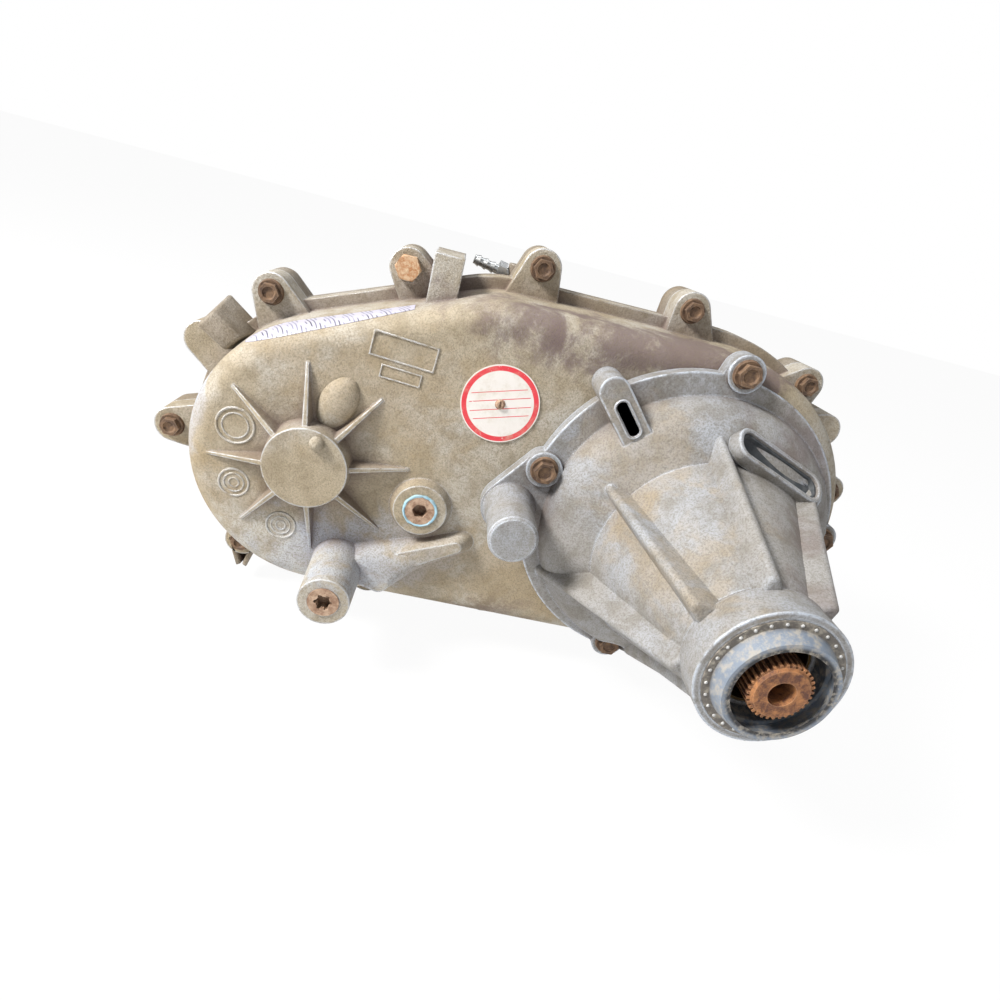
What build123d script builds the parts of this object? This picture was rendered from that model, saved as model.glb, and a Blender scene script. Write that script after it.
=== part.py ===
from build123d import *
import os
from math import acos, asin, atan, atan2, cos, degrees, hypot, pi, radians, sin, sqrt, tan

# Two-speed, chain-driven transfer case. All sizes in millimetres.
# The origin is the centre of the front mounting face, on the main shaft axis.
# +X points away from the front output, along the line through both shaft axes.
# +Y points to the front of the vehicle and +Z is square to the chain line.
# A station is a distance behind the front mounting face, so station s is the plane Y = -s.

# Chain drive: the shafts stand where a whole chain closes round two equal sprockets.
chain_pitch = 9.525
sprocket_teeth = 37
chain_links = 92
chain_width = 28.0
centre_distance = (chain_links - sprocket_teeth) * chain_pitch / 2
front_axis_x = -centre_distance

# Lengths of the three castings along the shafts.
front_case_depth = 112.0
rear_case_depth = 64.0
extension_length = 149.5
joint = front_case_depth
rear_face = joint + rear_case_depth
end_ring = rear_face + extension_length
shaft_proud = 10.5

# Casting walls and the joint between the case halves.
wall = 6.0
cover_draft = 3.0
cover_round = 15.0
rim = 7.0
rim_thickness = 11.0
lug_radius = 12.5
lug_thickness = 18.0
lug_root_radius = 21.0
lug_root_inset = 17.0

# The case outline is the hull of three circles: x, z and radius of each.
toe_circle = (-251.0, -3.0, 94.0)
shoulder_circle = (-150.0, 42.0, 88.0)
main_circle = (-6.0, 15.0, 116.0)

# Bolts through both case halves, as (x, z), and the one with a plain hexagon head.
case_bolt_places = [
    (-366.0, -14.0), (-308.0, 92.0), (-139.0, 148.0), (-33.0, 146.0), (66.0, 117.0),
    (119.0, 44.0), (117.0, -38.0), (62.0, -98.0), (-24.0, -107.0), (-118.0, -108.0),
    (-214.0, -109.0), (-312.0, -96.0),
]
plain_bolt_place = (-224.0, 128.0)
dowel_places = [(-350.0, 50.0), (96.0, 88.0)]
bolt_radius = 4.0
bolt_clearance = 0.4
bolt_flange_radius = 8.4
bolt_flange_thickness = 2.4
bolt_hex = 11.5
bolt_head_height = 6.5
bolt_length = 46.0
plain_hex = 15.0
dowel_radius = 6.0
dowel_length = 20.0
dowel_fit = 0.01

# Split block on top of the case, which stands across the joint.
block_x = -199.0
block_width = 19.0
block_top = 143.0
block_front = 96.0
block_back = 150.0

# Boss that closes the rear end of the front output shaft, with its ribs.
star_radius = 27.0
star_height = 14.2
star_rib_count = 8
star_rib_reach = 65.0
star_rib_first = 7.5
star_rib_root_width = 8.0
star_rib_tip_width = 3.0

# Fill and drain bosses on the rear cover.
fill_x = -185.0
fill_z = -16.5
fill_height = 6.5
fill_boss_radius = 18.0
fill_root_radius = 22.0
drain_x = -233.0
drain_z = -70.6
drain_height = 51.5
drain_boss_radius = 16.5
drain_root_radius = 19.0
plug_radius = 10.0
plug_flange_radius = 11.5
plug_depth = 14.0
plug_socket = 4.6
plug_socket_depth = 7.0

# Round tag with its drive screw.
tag_x = -149.5
tag_z = 65.7
tag_radius = 25.4
tag_thickness = 0.8
tag_screw_radius = 3.4

# Extension housing.
ext_flange_x = -13.0
ext_flange_z = 12.0
ext_flange_radius = 107.0
ext_flange_thickness = 10.0
rail_x = -127.8
rail_z = 0.7
rail_boss_radius = 15.5
rail_boss_root = 19.0
rail_boss_end = rear_face + 57.0
ext_bolt_places = [(-112.5, 33.0), (-7.5, 122.0), (88.0, 26.0), (64.0, -62.0), (-30.0, -88.0)]
ext_bolt_lug = 12.0
ext_bolt_flange_radius = 9.3
ext_bolt_hex = 13.0
ext_bolt_length = 24.0
cone_front = rear_face + 38.0
cone_back = end_ring - 22.5
cone_back_radius = 36.5
end_ring_radius = 40.3
end_ring_width = 22.0
fin_count = 7
fin_first = 50.0
fin_reach = 90.0
fin_crest = 4.4
fin_root = 30.0
rail_fin_turn = 203.0
rail_fin_reach = 107.0
dome_step = 0.5
# Dome sections: depth behind the flange face, offset to the upper left, radius, and lean of the wall.
dome_sections = [(0.0, 6.0, 100.5, 0.0), (12.0, 6.0, 99.0, 12.0), (22.0, 5.5, 94.0, 38.0),
                 (30.0, 4.0, 85.0, 52.0), (38.0, 0.0, 73.0, 48.0)]

# Shafts, bearings and their fits.
running_fit = 0.05
seat_fit = 0.01
side_gap = 0.5
input_bearing = (22.5, 42.5, 19.0)
output_bearing = (17.5, 36.0, 17.0)
front_bearing = (20.0, 40.0, 18.0)
bearing_ring = 5.0
shaft_spline_radius = 17.0
output_shaft_radius = 16.4

# Planetary gears.
gear_module = 2.25
sun_teeth = 32
planet_teeth = 12
ring_teeth = sun_teeth + 2 * planet_teeth
planet_count = 4
pressure_angle = 25.0
addendum = 0.8 * gear_module
dedendum = 1.05 * gear_module
backlash = 0.16
gear_front = 50.0
gear_width = 25.0
annulus_rim = 9.5
planet_pin_radius = 5.0

# Clutch teeth that the range sleeve slides into.
dog_teeth = 44
dog_tip = 26.8
dog_root = 24.6
dog_gap = 0.25
dog_length = 5.0
range_travel = 14.0
sleeve_spline_teeth = 24

# Mode clutch behind the drive sprocket.
mode_teeth = 36
mode_tip = 30.0
mode_root = 27.8
mode_travel = 6.0

# Shift mechanism.
rail_radius = 8.0
sector_x = -150.0
sector_station = 88.0
sector_arm = 27.0
lever_half_swing = 15.0
sector_pin_radius = 4.0
sector_shaft_radius = 8.0
sector_plate_top = -16.0
sector_plate_thickness = 6.0
sector_crest = 17.0
lever_length = 85.0
lever_thickness = 6.0
detent_radius = 5.0

# Oil pump.
pump_inner_lobes = 6
pump_offset = 3.0
pump_pin_circle = 32.0
pump_pin_radius = 7.0
rotor_gap = 0.25
pump_rotor_width = 10.0
pump_front = rear_face + 4.0
pump_back = pump_front + 16.0

# Front mounting face and front output flange.
adapter_radius = 100.0
adapter_thickness = 14.0
adapter_bolt_circle = 87.0
adapter_bolt_count = 6
adapter_pilot_radius = 68.0
adapter_pilot_depth = 9.0
stud_radius = 5.0
stud_root = 4.3
stud_neck = 0.3
stud_proud = 26.0
drum_radius = 84.0
yoke_radius = 47.0
yoke_bolt_circle = 36.0
yoke_bolt_count = 4
yoke_hole_radius = 5.1

ON_FACE = (Align.CENTER, Align.CENTER, Align.MIN)
parts = {}


# Helpers shared by all pieces.
def at(station):
    """Plane across the shafts: local x is X, local y is Z, and local z points rearwards."""
    return Plane.XZ.offset(station)


def rod(radius, front, back, x=0.0, z=0.0):
    return at(front) * Pos(x, z, 0) * Cylinder(radius, back - front, align=ON_FACE)


def tube(outer, inner, front, back, x=0.0, z=0.0):
    return rod(outer, front, back, x, z) - rod(inner, front - 1, back + 1, x, z)


def taper(front_radius, back_radius, front, back, x=0.0, z=0.0):
    return at(front) * Pos(x, z, 0) * Cone(front_radius, back_radius, back - front, align=ON_FACE)


def prism(sketch, front, back):
    return extrude(at(front) * sketch, back - front)


def hexagon(across_flats, front, back, x=0.0, z=0.0):
    return prism(Pos(x, z) * RegularPolygon(across_flats / 2, 6, major_radius=False), front, back)


def on_circle(radius, count, first=0.0):
    """Places evenly spaced round the main axis, as (x, z)."""
    turns = [radians(first + 360.0 * k / count) for k in range(count)]
    return [(radius * cos(turn), radius * sin(turn)) for turn in turns]


def involute(angle):
    return tan(angle) - angle


def toothed(teeth, root, tip, pitch_radius, half_width, first=0.0, steps=3):
    """Outline of a wheel with involute teeth; the first tooth stands at the given angle."""
    base = pitch_radius * cos(radians(pressure_angle))
    at_pitch = half_width / pitch_radius + involute(radians(pressure_angle))

    def half_angle(radius):
        return at_pitch - involute(acos(base / max(radius, base)))

    rise = [root + (tip - root) * k / (steps - 1) for k in range(steps)]
    points = []
    for k in range(teeth):
        centre = radians(first) + 2 * pi * k / teeth
        points += [(r * cos(centre - half_angle(r)), r * sin(centre - half_angle(r))) for r in rise]
        points += [(r * cos(centre + half_angle(r)), r * sin(centre + half_angle(r))) for r in rise[::-1]]
    return make_face(Polyline(*points, close=True))


def splined(teeth, root, tip, slack=0.0, first=0.0):
    """Outline of straight clutch or spline teeth, thinned or widened by the slack."""
    middle = (root + tip) / 2
    half = pi * middle / teeth / 2 - slack
    points = []
    for k in range(teeth):
        centre = radians(first) + 2 * pi * k / teeth
        foot = (half + 0.12 * (tip - root)) / root
        crest = (half - 0.12 * (tip - root)) / tip
        points += [(root * cos(centre - foot), root * sin(centre - foot))]
        points += [(tip * cos(centre - crest), tip * sin(centre - crest))]
        points += [(tip * cos(centre + crest), tip * sin(centre + crest))]
        points += [(root * cos(centre + foot), root * sin(centre + foot))]
    return make_face(Polyline(*points, close=True))


def hull(circles, grow=0.0):
    """Hull of circles, each given as x, z and radius, all grown by the same amount."""
    edges = []
    for x, z, radius in circles:
        edges += (Pos(x, z) * Circle(radius + grow)).edges()
    return make_hull(edges)


def shell_solid(front, back, front_grow, back_grow, edge_radius, back_is_closed):
    """Case body between two stations, drafted, with its closed end rounded."""
    circles = [toe_circle, shoulder_circle, main_circle]
    body = loft([at(front) * hull(circles, front_grow), at(back) * hull(circles, back_grow)], ruled=True)
    closed_end = body.edges().group_by(Axis.Y)[0 if back_is_closed else -1]
    return fillet(closed_end, edge_radius)


def case_lug(place, front, back):
    """Bolt lug that flares into the wall of the case."""
    x, z = place
    centre = min([toe_circle, shoulder_circle, main_circle], key=lambda c: hypot(x - c[0], z - c[1]) - c[2])
    reach = hypot(x - centre[0], z - centre[1])
    root = (centre[2] - lug_root_inset) / reach
    foot = (centre[0] + (x - centre[0]) * root, centre[1] + (z - centre[1]) * root, lug_root_radius)
    return prism(hull([(x, z, lug_radius), foot]), front, back)


# Castings.
case_bolt_all = case_bolt_places + [plain_bolt_place]
draft_in = tan(radians(cover_draft))
opening_radius = 60.0
needle_seat = 19.0
needle_front = rear_face - 15.0
needle_back = rear_face + 7.0
front_floor = 62.0
front_round = 13.0
front_boss_radius = 50.0
front_boss_front = 40.0
front_seal_radius = 33.0
front_seal_back = 52.0
drum_front_wall = 14.0
drum_wall_back = 41.0
annulus_radius = gear_module * ring_teeth / 2 + annulus_rim
rail_case_front = 50.0
detent_front = 40.0


def inner_cavity(front, back, front_grow, back_grow, edge_radius, back_is_closed):
    return shell_solid(front, back, front_grow, back_grow, edge_radius, back_is_closed)


def star_ribs():
    """Ribs that taper from the full height of the boss down to the cover."""
    ribs = None
    for k in range(star_rib_count):
        turn = star_rib_first + 360.0 * k / star_rib_count
        root = Plane(origin=(star_radius - 3, 0, 0), x_dir=(0, 1, 0), z_dir=(1, 0, 0))
        tip = Plane(origin=(star_rib_reach, 0, 0), x_dir=(0, 1, 0), z_dir=(1, 0, 0))
        high = star_height - 2.5
        near = root * Polygon((-star_rib_root_width / 2, -3), (star_rib_root_width / 2, -3), (1.8, high),
                              (-1.8, high), align=None)
        far = tip * Polygon((-star_rib_tip_width / 2, -3), (star_rib_tip_width / 2, -3), (0.9, 0.6),
                            (-0.9, 0.6), align=None)
        rib = at(rear_face) * Pos(front_axis_x, 0, 0) * Rot(0, 0, turn) * loft([near, far], ruled=True)
        ribs = rib if ribs is None else ribs + rib
    return ribs


def drain_runner():
    """Cast oil runner that leads from the drain boss up across the cover."""
    start = (drain_x + 12, drain_z + 4)
    low = (drain_x + 30, drain_z - 2)
    middle = (-190.0, -56.0)
    end = (-150.0, -36.0)
    ridge = loft(
        [
            at(rear_face - 4) * hull([(*start, 15.0), (*middle, 13.0), (*end, 9.0)]),
            at(rear_face + 16) * hull([(*start, 8.0), (*low, 7.0)]),
        ],
        ruled=True,
    )
    crest = loft(
        [
            at(rear_face - 4) * hull([(*middle, 13.0), (*end, 10.0)]),
            at(rear_face + 9) * hull([(*middle, 6.5), (end[0] - 6, end[1] - 2, 4.0)]),
        ],
        ruled=True,
    )
    return ridge + crest


def rear_case():
    body = shell_solid(joint, rear_face, 0, -rear_case_depth * draft_in, cover_round, True)
    body += prism(hull([toe_circle, shoulder_circle, main_circle], rim), joint, joint + rim_thickness)
    for place in case_bolt_all:
        body += case_lug(place, joint, joint + lug_thickness)
    for place in dowel_places:
        body += case_lug(place, joint, joint + lug_thickness - 3)
    block = Pos(block_x, block_top / 2 + 40) * Rectangle(block_width, block_top - 80)
    body += prism(block, joint, block_back)
    body += taper(star_radius + 2, star_radius, rear_face - 3, rear_face + star_height, front_axis_x)
    body += star_ribs()
    body += taper(fill_root_radius, fill_boss_radius, rear_face - 2, rear_face + fill_height, fill_x, fill_z)
    body += drain_runner()
    drain_face = rear_face + drain_height
    body += taper(drain_root_radius, drain_boss_radius, rear_face - 30, drain_face, drain_x, drain_z)
    cavity = shell_solid(joint, rear_face - wall, -wall, -wall - rear_case_depth * draft_in, cover_round - 4, True)
    keep = rod(needle_seat + 6, needle_front - 3, rear_face, front_axis_x)
    keep += rod(fill_boss_radius, rear_face - plug_depth, rear_face, fill_x, fill_z)
    for x, z in ext_bolt_places:
        keep += rod(bolt_radius + 5, rear_face - 17, rear_face, x, z)
    body -= cavity - keep
    body -= rod(needle_seat, joint, needle_back, front_axis_x)
    body -= rod(opening_radius, joint, rear_face + 1)
    body -= rod(rail_radius + running_fit, joint, rear_face + 1, rail_x, rail_z)
    body -= rod(plug_radius, joint, rear_face + 20, fill_x, fill_z)
    body -= rod(plug_radius, joint + 20, drain_face + 1, drain_x, drain_z)
    for x, z in case_bolt_all:
        body -= rod(bolt_radius + bolt_clearance, joint - 1, joint + lug_thickness + 1, x, z)
        body -= rod(bolt_flange_radius + 0.6, joint + lug_thickness, joint + lug_thickness + 20, x, z)
    for x, z in ext_bolt_places:
        body -= rod(bolt_radius, rear_face - 14, rear_face + 1, x, z)
    for x, z in dowel_places:
        body -= rod(dowel_radius + dowel_fit, joint - 1, joint + dowel_length / 2, x, z)
    body -= rod(2.0, rear_face - 4, rear_face + 1, tag_x, tag_z)
    return body


def front_case():
    body = shell_solid(front_floor, joint, -(joint - front_floor) * draft_in, 0, front_round, False)
    body += prism(hull([toe_circle, shoulder_circle, main_circle], rim), joint - rim_thickness, joint)
    for place in case_bolt_all:
        body += case_lug(place, joint - lug_thickness, joint)
    for place in dowel_places:
        body += case_lug(place, joint - lug_thickness, joint)
    block = Pos(block_x, block_top / 2 + 40) * Rectangle(block_width, block_top - 80)
    body += prism(block, block_front, joint)
    body += taper(drum_radius, drum_radius + 4, adapter_thickness, front_floor + 4)
    adapter = hull([(x, z, 13.0) for x, z in on_circle(adapter_bolt_circle, adapter_bolt_count, 30.0)])
    body += prism(adapter, 0, adapter_thickness)
    body += taper(front_boss_radius, front_boss_radius + 5, front_boss_front, front_floor + 4, front_axis_x)
    body += rod(rail_radius + 6, rail_case_front, front_floor + 4, rail_x, rail_z)
    body += rod(detent_radius + 7, detent_front, front_floor + 4, sector_x, sector_plate_top - 3)
    cavity = shell_solid(front_floor + wall, joint, -wall - (joint - front_floor) * draft_in, -wall,
                         front_round - 4, False)
    keep = rod(front_bearing[1] + 8, front_floor, front_floor + 18, front_axis_x)
    keep += rod(rail_radius + 6, front_floor, front_floor + 10, rail_x, rail_z)
    keep += rod(detent_radius + 5, front_floor, front_floor + 7, sector_x, sector_plate_top - 3)
    keep += rod(annulus_radius + wall, front_floor, front_floor + 14)
    keep += sector_boss(-150.0, sector_boss_inner)
    body -= cavity - keep
    body += sector_boss(sector_boss_outer, sector_boss_inner)
    body += Pos(vent_x, -vent_station, vent_top - 24) * Cylinder(vent_radius, 24, align=ON_FACE)
    body -= vent_place() * Pos(0, 0, -8) * Cylinder(4.0, 30, align=ON_FACE)
    body -= Pos(vent_x, -vent_station, vent_top - 40) * Cylinder(2.0, 33, align=ON_FACE)
    body -= rod(annulus_radius, drum_wall_back + 2, joint + 1)
    body -= rod(input_bearing[1], retainer_seat, drum_wall_back + 10)
    body -= rod(adapter_pilot_radius, -1, adapter_pilot_depth)
    body -= rod(retainer_radius + 0.3, -1, retainer_seat)
    body -= rod(front_bearing[1], front_bearing_front, front_floor + 20, front_axis_x)
    body -= rod(front_seal_radius, front_boss_front - 1, front_seal_back, front_axis_x)
    body -= rod(front_seal_radius - 6, front_boss_front - 1, front_floor + 20, front_axis_x)
    body -= rod(rail_radius + running_fit, rail_case_front + wall, front_floor + 20, rail_x, rail_z)
    body -= rod(detent_radius + running_fit, detent_front - 1, front_floor + 20, sector_x, sector_plate_top - 3)
    shaft_hole = Pos(sector_x, -sector_station, -100) * Cylinder(sector_shaft_radius + running_fit, 120)
    body -= shaft_hole
    for x, z in case_bolt_all:
        body -= rod(bolt_radius, joint - 28, joint + 1, x, z)
    for x, z in dowel_places:
        body -= rod(dowel_radius + dowel_fit, joint - dowel_length / 2, joint + 1, x, z)
    for x, z in on_circle(adapter_bolt_circle, adapter_bolt_count, 30.0):
        body -= rod(stud_root + seat_fit, -1, adapter_thickness + 8, x, z)
    for x, z in retainer_bolt_places():
        body -= rod(bolt_radius, retainer_seat - 1, retainer_seat + 16, x, z)
    return body


def sector_boss(bottom, top):
    """Upright boss in the lower wall that carries the sector shaft."""
    height = top - bottom
    return Pos(sector_x, -sector_station, bottom + height / 2) * Cylinder(sector_shaft_radius + 7, height)


sector_boss_outer = -112.0
sector_boss_inner = -70.0
retainer_radius = 58.0
retainer_seat = 16.0
front_bearing_front = 56.0


def retainer_bolt_places():
    return on_circle(50.0, 5, 90.0)


# Extension housing and what it holds.
ext_wall = 6.0
bearing_front = pump_back + 1.0
bearing_back = bearing_front + output_bearing[2]
bearing_boss_radius = output_bearing[1] + 7
bushing_radius = 27.5
bushing_bore = 24.2
bushing_front = end_ring - 35.5
bushing_back = end_ring - 13.5
seal_seat = 36.0
seal_front = end_ring - 12.0
slot_x = 28.0
slot_z = 66.0
slot_angle = -18.0
slot_length = 64.0
slot_width = 15.0
slot_rim = 4.5
slot_face = rear_face + 31.0
slot_depth = 9.0
loop_angle = 132.5
loop_width = 19.0
loop_reach = 139.0
loop_face = rear_face + 27.0


def extension_flange(front, back):
    """Mounting flange with its bolt ears and the lobe round the shift rail boss."""
    outline = Pos(ext_flange_x, ext_flange_z) * Circle(ext_flange_radius)
    flange = prism(outline, front, back)
    rail_lobe = [(rail_x, rail_z, rail_boss_root), (*ext_bolt_places[0], ext_bolt_lug), (-80.0, 0.0, 42.0)]
    flange += prism(hull(rail_lobe), front, back)
    for x, z in ext_bolt_places[1:]:
        toward = (ext_flange_x + (x - ext_flange_x) * 0.72, ext_flange_z + (z - ext_flange_z) * 0.72, 18.0)
        flange += prism(hull([(x, z, ext_bolt_lug), toward]), front, back)
    return flange


def cone_fin(turn):
    """Drafted fin from the dome down to the end ring, with a rounded crest."""
    on_rail = abs(turn - rail_fin_turn) < 8
    reach = rail_fin_reach if on_rail else fin_reach
    start = rear_face + (9 if on_rail else 22)
    finish = cone_back + 2
    tip = cone_back_radius + 2

    def section(station, top, root_width):
        outline = Polygon((fin_root, -root_width / 2), (top, -fin_crest / 2), (top, fin_crest / 2),
                          (fin_root, root_width / 2), align=None)
        return at(station) * outline

    fin = loft([section(start, reach, reach * 0.36), section(finish, tip, 9.0)], ruled=True)
    crest = fin.edges().filter_by(lambda edge: edge.length > 60).sort_by(lambda edge: -edge.center().X)[:2]
    return Rot(0, -turn, 0) * fillet(crest, fin_crest * 0.42)


def output_shell(inside):
    """Dome and cone of the extension, or the hollow inside them."""
    rings = []
    for depth, offset, radius, lean in dome_sections:
        drop = ext_wall * sin(radians(lean)) if inside else 0.0
        shrink = ext_wall * cos(radians(lean)) if inside else 0.0
        rings.append(at(rear_face + depth - drop) * Pos(-offset, offset) * Circle(radius - shrink))
    mouth, end = dome_sections[0], dome_sections[-1]
    shell = loft(rings)
    lean = radians(end[3])
    front = cone_front - (ext_wall * sin(lean) if inside else 0.0)
    front_radius = end[2] - dome_step - (ext_wall * cos(lean) if inside else 0.0)
    back_radius = cone_back_radius - (ext_wall if inside else 0.0)
    shell += taper(front_radius, back_radius, front - 0.01, cone_back)
    if inside:
        opening = mouth[2] - ext_wall - dome_step
        shell += at(rear_face - 1) * Pos(-mouth[1], mouth[1]) * Cylinder(opening, 2, align=ON_FACE)
    return shell


def extension_housing():
    body = output_shell(False)
    body += extension_flange(rear_face, rear_face + ext_flange_thickness)
    rail_boss = rod(rail_boss_radius, rear_face + 2, rail_boss_end, rail_x, rail_z)
    body += chamfer(rail_boss.edges().sort_by(Axis.Y)[:1], 1.6)
    body += taper(rail_boss_root, rail_boss_radius, rear_face + 2, rear_face + 26, rail_x, rail_z)
    for k in range(fin_count):
        body += cone_fin(fin_first + 360.0 * k / fin_count)
    body += rod(end_ring_radius, end_ring - end_ring_width, end_ring)
    body += taper(cone_back_radius, end_ring_radius, end_ring - end_ring_width - 6, end_ring - end_ring_width)
    slot_place = Pos(slot_x, slot_z) * Rot(0, 0, slot_angle)
    slot_outer = slot_place * SlotOverall(slot_length + 2 * slot_rim, slot_width + 2 * slot_rim)
    body += prism(slot_outer, rear_face + 4, slot_face)
    bar = Rot(0, -loop_angle, 0) * extrude(
        Plane.XZ.offset(rear_face) * Pos((78 + loop_reach) / 2, 0)
        * SlotOverall(loop_reach - 78, loop_width), loop_face - rear_face)
    body += bar
    for x, z in ext_bolt_places:
        body += rod(ext_bolt_lug, rear_face, rear_face + ext_flange_thickness + 3, x, z)
    hollow = output_shell(True) & rod(200, rear_face - 1, bushing_front - 8)
    hollow -= rod(bearing_boss_radius, rear_face + 18, bearing_back + 8)
    for k in range(fin_count):
        stay = Rot(0, -(fin_first + 25 + 360.0 * k / fin_count), 0) * Pos(50, -(bearing_front + 8), 0) * Box(60, 22, 6)
        hollow -= stay
    hollow -= prism(slot_outer, rear_face + 12, slot_face)
    bolt_seat = rear_face + ext_flange_thickness + 3
    for x, z in ext_bolt_places:
        hollow -= rod(ext_bolt_flange_radius + 6, rear_face - 2, bolt_seat + 30, x, z)
    body -= hollow
    body -= rod(opening_radius, rear_face - 1, pump_back)
    body -= rod(output_bearing[1], pump_back - 1, bearing_back)
    body -= rod(output_bearing[1] - 5, pump_back - 1, bearing_back + 12)
    body -= rod(bushing_radius, bearing_back + 6, bushing_back)
    body -= rod(seal_seat, seal_front, end_ring + 1)
    body -= rod(bushing_radius - 2, bushing_back - 1, seal_front + 1)
    body -= prism(slot_place * SlotOverall(slot_length, slot_width), slot_face - slot_depth, slot_face + 1)
    window = Rot(0, -loop_angle, 0) * at(loop_face - 10) * Pos(115, 0, 0) * Box(15, 7.5, 30, align=ON_FACE)
    body -= window
    body -= rod(rail_radius + running_fit, rear_face - 1, rail_boss_end - wall, rail_x, rail_z)
    for x, z in ext_bolt_places:
        body -= rod(bolt_radius + bolt_clearance, rear_face - 1, bolt_seat + 1, x, z)
        body -= rod(ext_bolt_flange_radius + 0.7, bolt_seat, bolt_seat + 34, x, z)
    return body


# Fasteners, plugs and small fittings on the outside.
def flanged_bolt(x, z, seat, length, flange_radius, across_flats):
    """Bolt whose flange rests on the plane at the given station, with its head to the rear."""
    bolt = rod(bolt_radius - seat_fit, seat - length, seat, x, z)
    bolt += taper(flange_radius, flange_radius - 0.6, seat, seat + bolt_flange_thickness, x, z)
    bolt += hexagon(across_flats, seat, seat + bolt_head_height, x, z)
    bolt -= taper(across_flats / 2 - 2.6, across_flats / 2 - 1.6, seat + bolt_head_height - 1.2,
                  seat + bolt_head_height + 0.01, x, z)
    return bolt


def group(solids):
    return Compound(children=[solid for piece in solids for solid in piece.solids()])


def case_bolts():
    seat = joint + lug_thickness
    return group([flanged_bolt(x, z, seat, bolt_length, bolt_flange_radius, bolt_hex) for x, z in case_bolt_places])


def hex_bolt():
    x, z = plain_bolt_place
    seat = joint + lug_thickness
    bolt = rod(bolt_radius - seat_fit, seat - bolt_length, seat, x, z)
    head = hexagon(plain_hex, seat, seat + bolt_head_height, x, z)
    crown = taper(plain_hex / 2 + 2.5, plain_hex / 2, seat + bolt_head_height - 2.5, seat + bolt_head_height, x, z)
    return bolt + (head & (crown + rod(plain_hex, seat, seat + bolt_head_height - 2.5, x, z)))


def dowel_pins():
    return group([rod(dowel_radius, joint - dowel_length / 2 + 0.5, joint + dowel_length / 2 - 0.5, x, z)
                  for x, z in dowel_places])


def extension_bolts():
    seat = rear_face + ext_flange_thickness + 3
    return group([flanged_bolt(x, z, seat, ext_bolt_length, ext_bolt_flange_radius, ext_bolt_hex)
                  for x, z in ext_bolt_places])


def threaded_plug(x, z, face, lobes):
    """Sealing plug with a socket; its top stands level with the boss."""
    body = rod(plug_radius - seat_fit, face - plug_depth, face + 0.8, x, z)
    socket = Circle(plug_socket)
    if lobes:
        for k in range(6):
            socket += Rot(0, 0, 60 * k) * Pos(plug_socket, 0) * Circle(1.35)
    else:
        socket = RegularPolygon(plug_socket, 6, major_radius=False)
    return body - prism(Pos(x, z) * socket, face + 0.8 - plug_socket_depth, face + 2)


def fill_plug():
    return threaded_plug(fill_x, fill_z, rear_face + fill_height, False)


def drain_plug():
    return threaded_plug(drain_x, drain_z, rear_face + drain_height, True)


def id_tag():
    return tube(tag_radius, 2.1, rear_face, rear_face + tag_thickness, tag_x, tag_z)


def tag_screw():
    """Round-head drive screw that holds the tag, with a slot across its head."""
    shank = rod(2.0 - seat_fit, rear_face - 3.9, rear_face + tag_thickness, tag_x, tag_z)
    top = rear_face + tag_thickness
    head = taper(tag_screw_radius, tag_screw_radius - 1.3, top, top + 1.8, tag_x, tag_z)
    notch = Pos(tag_x, -(top + 1.8), tag_z) * Box(1.2, 1.6, 3 * tag_screw_radius)
    return shank + head - notch


def strip_label():
    """Thin adhesive strip that follows the rounded upper edge of the cover."""
    skin = 0.25
    outside = shell_solid(joint, rear_face + skin, skin, skin - rear_case_depth * draft_in, cover_round, True)
    inside = shell_solid(joint, rear_face, 0, -rear_case_depth * draft_in, cover_round, True)
    window = Polygon((-322.0, 60.0), (-208.5, 108.0), (-211.0, 128.0), (-340.0, 84.0), align=None)
    return (outside & prism(window, strip_front, strip_back)) - inside


strip_front = 155.5
strip_back = 168.0
vent_x = -150.0
vent_station = 86.0
vent_top = 144.0
vent_radius = 8.0
vent_port_z = 136.0
vent_tilt = 80.0


def vent_place():
    """Frame of the breather: its local z runs out of the cast post, to the side."""
    return Pos(vent_x - vent_radius + 0.5, -vent_station, vent_port_z) * Rot(0, -vent_tilt, 0)


def breather_fitting():
    """Barbed breather with its hexagon, screwed into the cast post on the front case."""
    body = Pos(0, 0, -8) * Cylinder(4.0 - seat_fit, 11, align=ON_FACE)
    body += Pos(0, 0, 2.2) * extrude(RegularPolygon(6.0, 6, major_radius=False), 6)
    body += Pos(0, 0, 1) * Cylinder(3.2, 25, align=ON_FACE)
    for rise in (11.0, 16.5, 22.0):
        body += Pos(0, 0, rise) * Cone(4.2, 3.0, 3.5, align=ON_FACE)
    return vent_place() * (body - Cylinder(1.6, 80))


def slot_plug():
    """Rubber closure pressed into the oblong opening, with a sunk face."""
    place = Pos(slot_x, slot_z) * Rot(0, 0, slot_angle)
    floor = slot_face - slot_depth
    body = prism(place * SlotOverall(slot_length - 0.2, slot_width - 0.2), floor, slot_face - 1.5)
    return body - prism(place * SlotOverall(slot_length - 6, slot_width - 6), floor + 3.5, slot_face)


def adapter_studs():
    studs = []
    for x, z in on_circle(adapter_bolt_circle, adapter_bolt_count, 30.0):
        studs.append(rod(stud_radius, -stud_proud, -stud_neck, x, z)
                     + rod(stud_root, -stud_neck - 0.1, adapter_thickness + 7, x, z))
    return group(studs)


# Seals, bushing and bearings.
def output_seal():
    """Tail seal: press-fit shell, face ring and a cone that stands proud round the shaft."""
    body = tube(seal_seat - seat_fit, bushing_bore + 3, seal_front + 0.5, end_ring + 0.8)
    body += taper(32.0, 29.4, end_ring + 0.5, end_ring + 10.0)
    body += rod(32.0, end_ring - 1.0, end_ring + 0.6)
    body -= taper(29.8, 27.2, end_ring - 1.1, end_ring + 8.0)
    return body - taper(27.2, 25.0, end_ring + 7.9, end_ring + 10.1)


def output_bushing():
    return tube(bushing_radius - seat_fit, bushing_bore, bushing_front, bushing_back)


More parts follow.
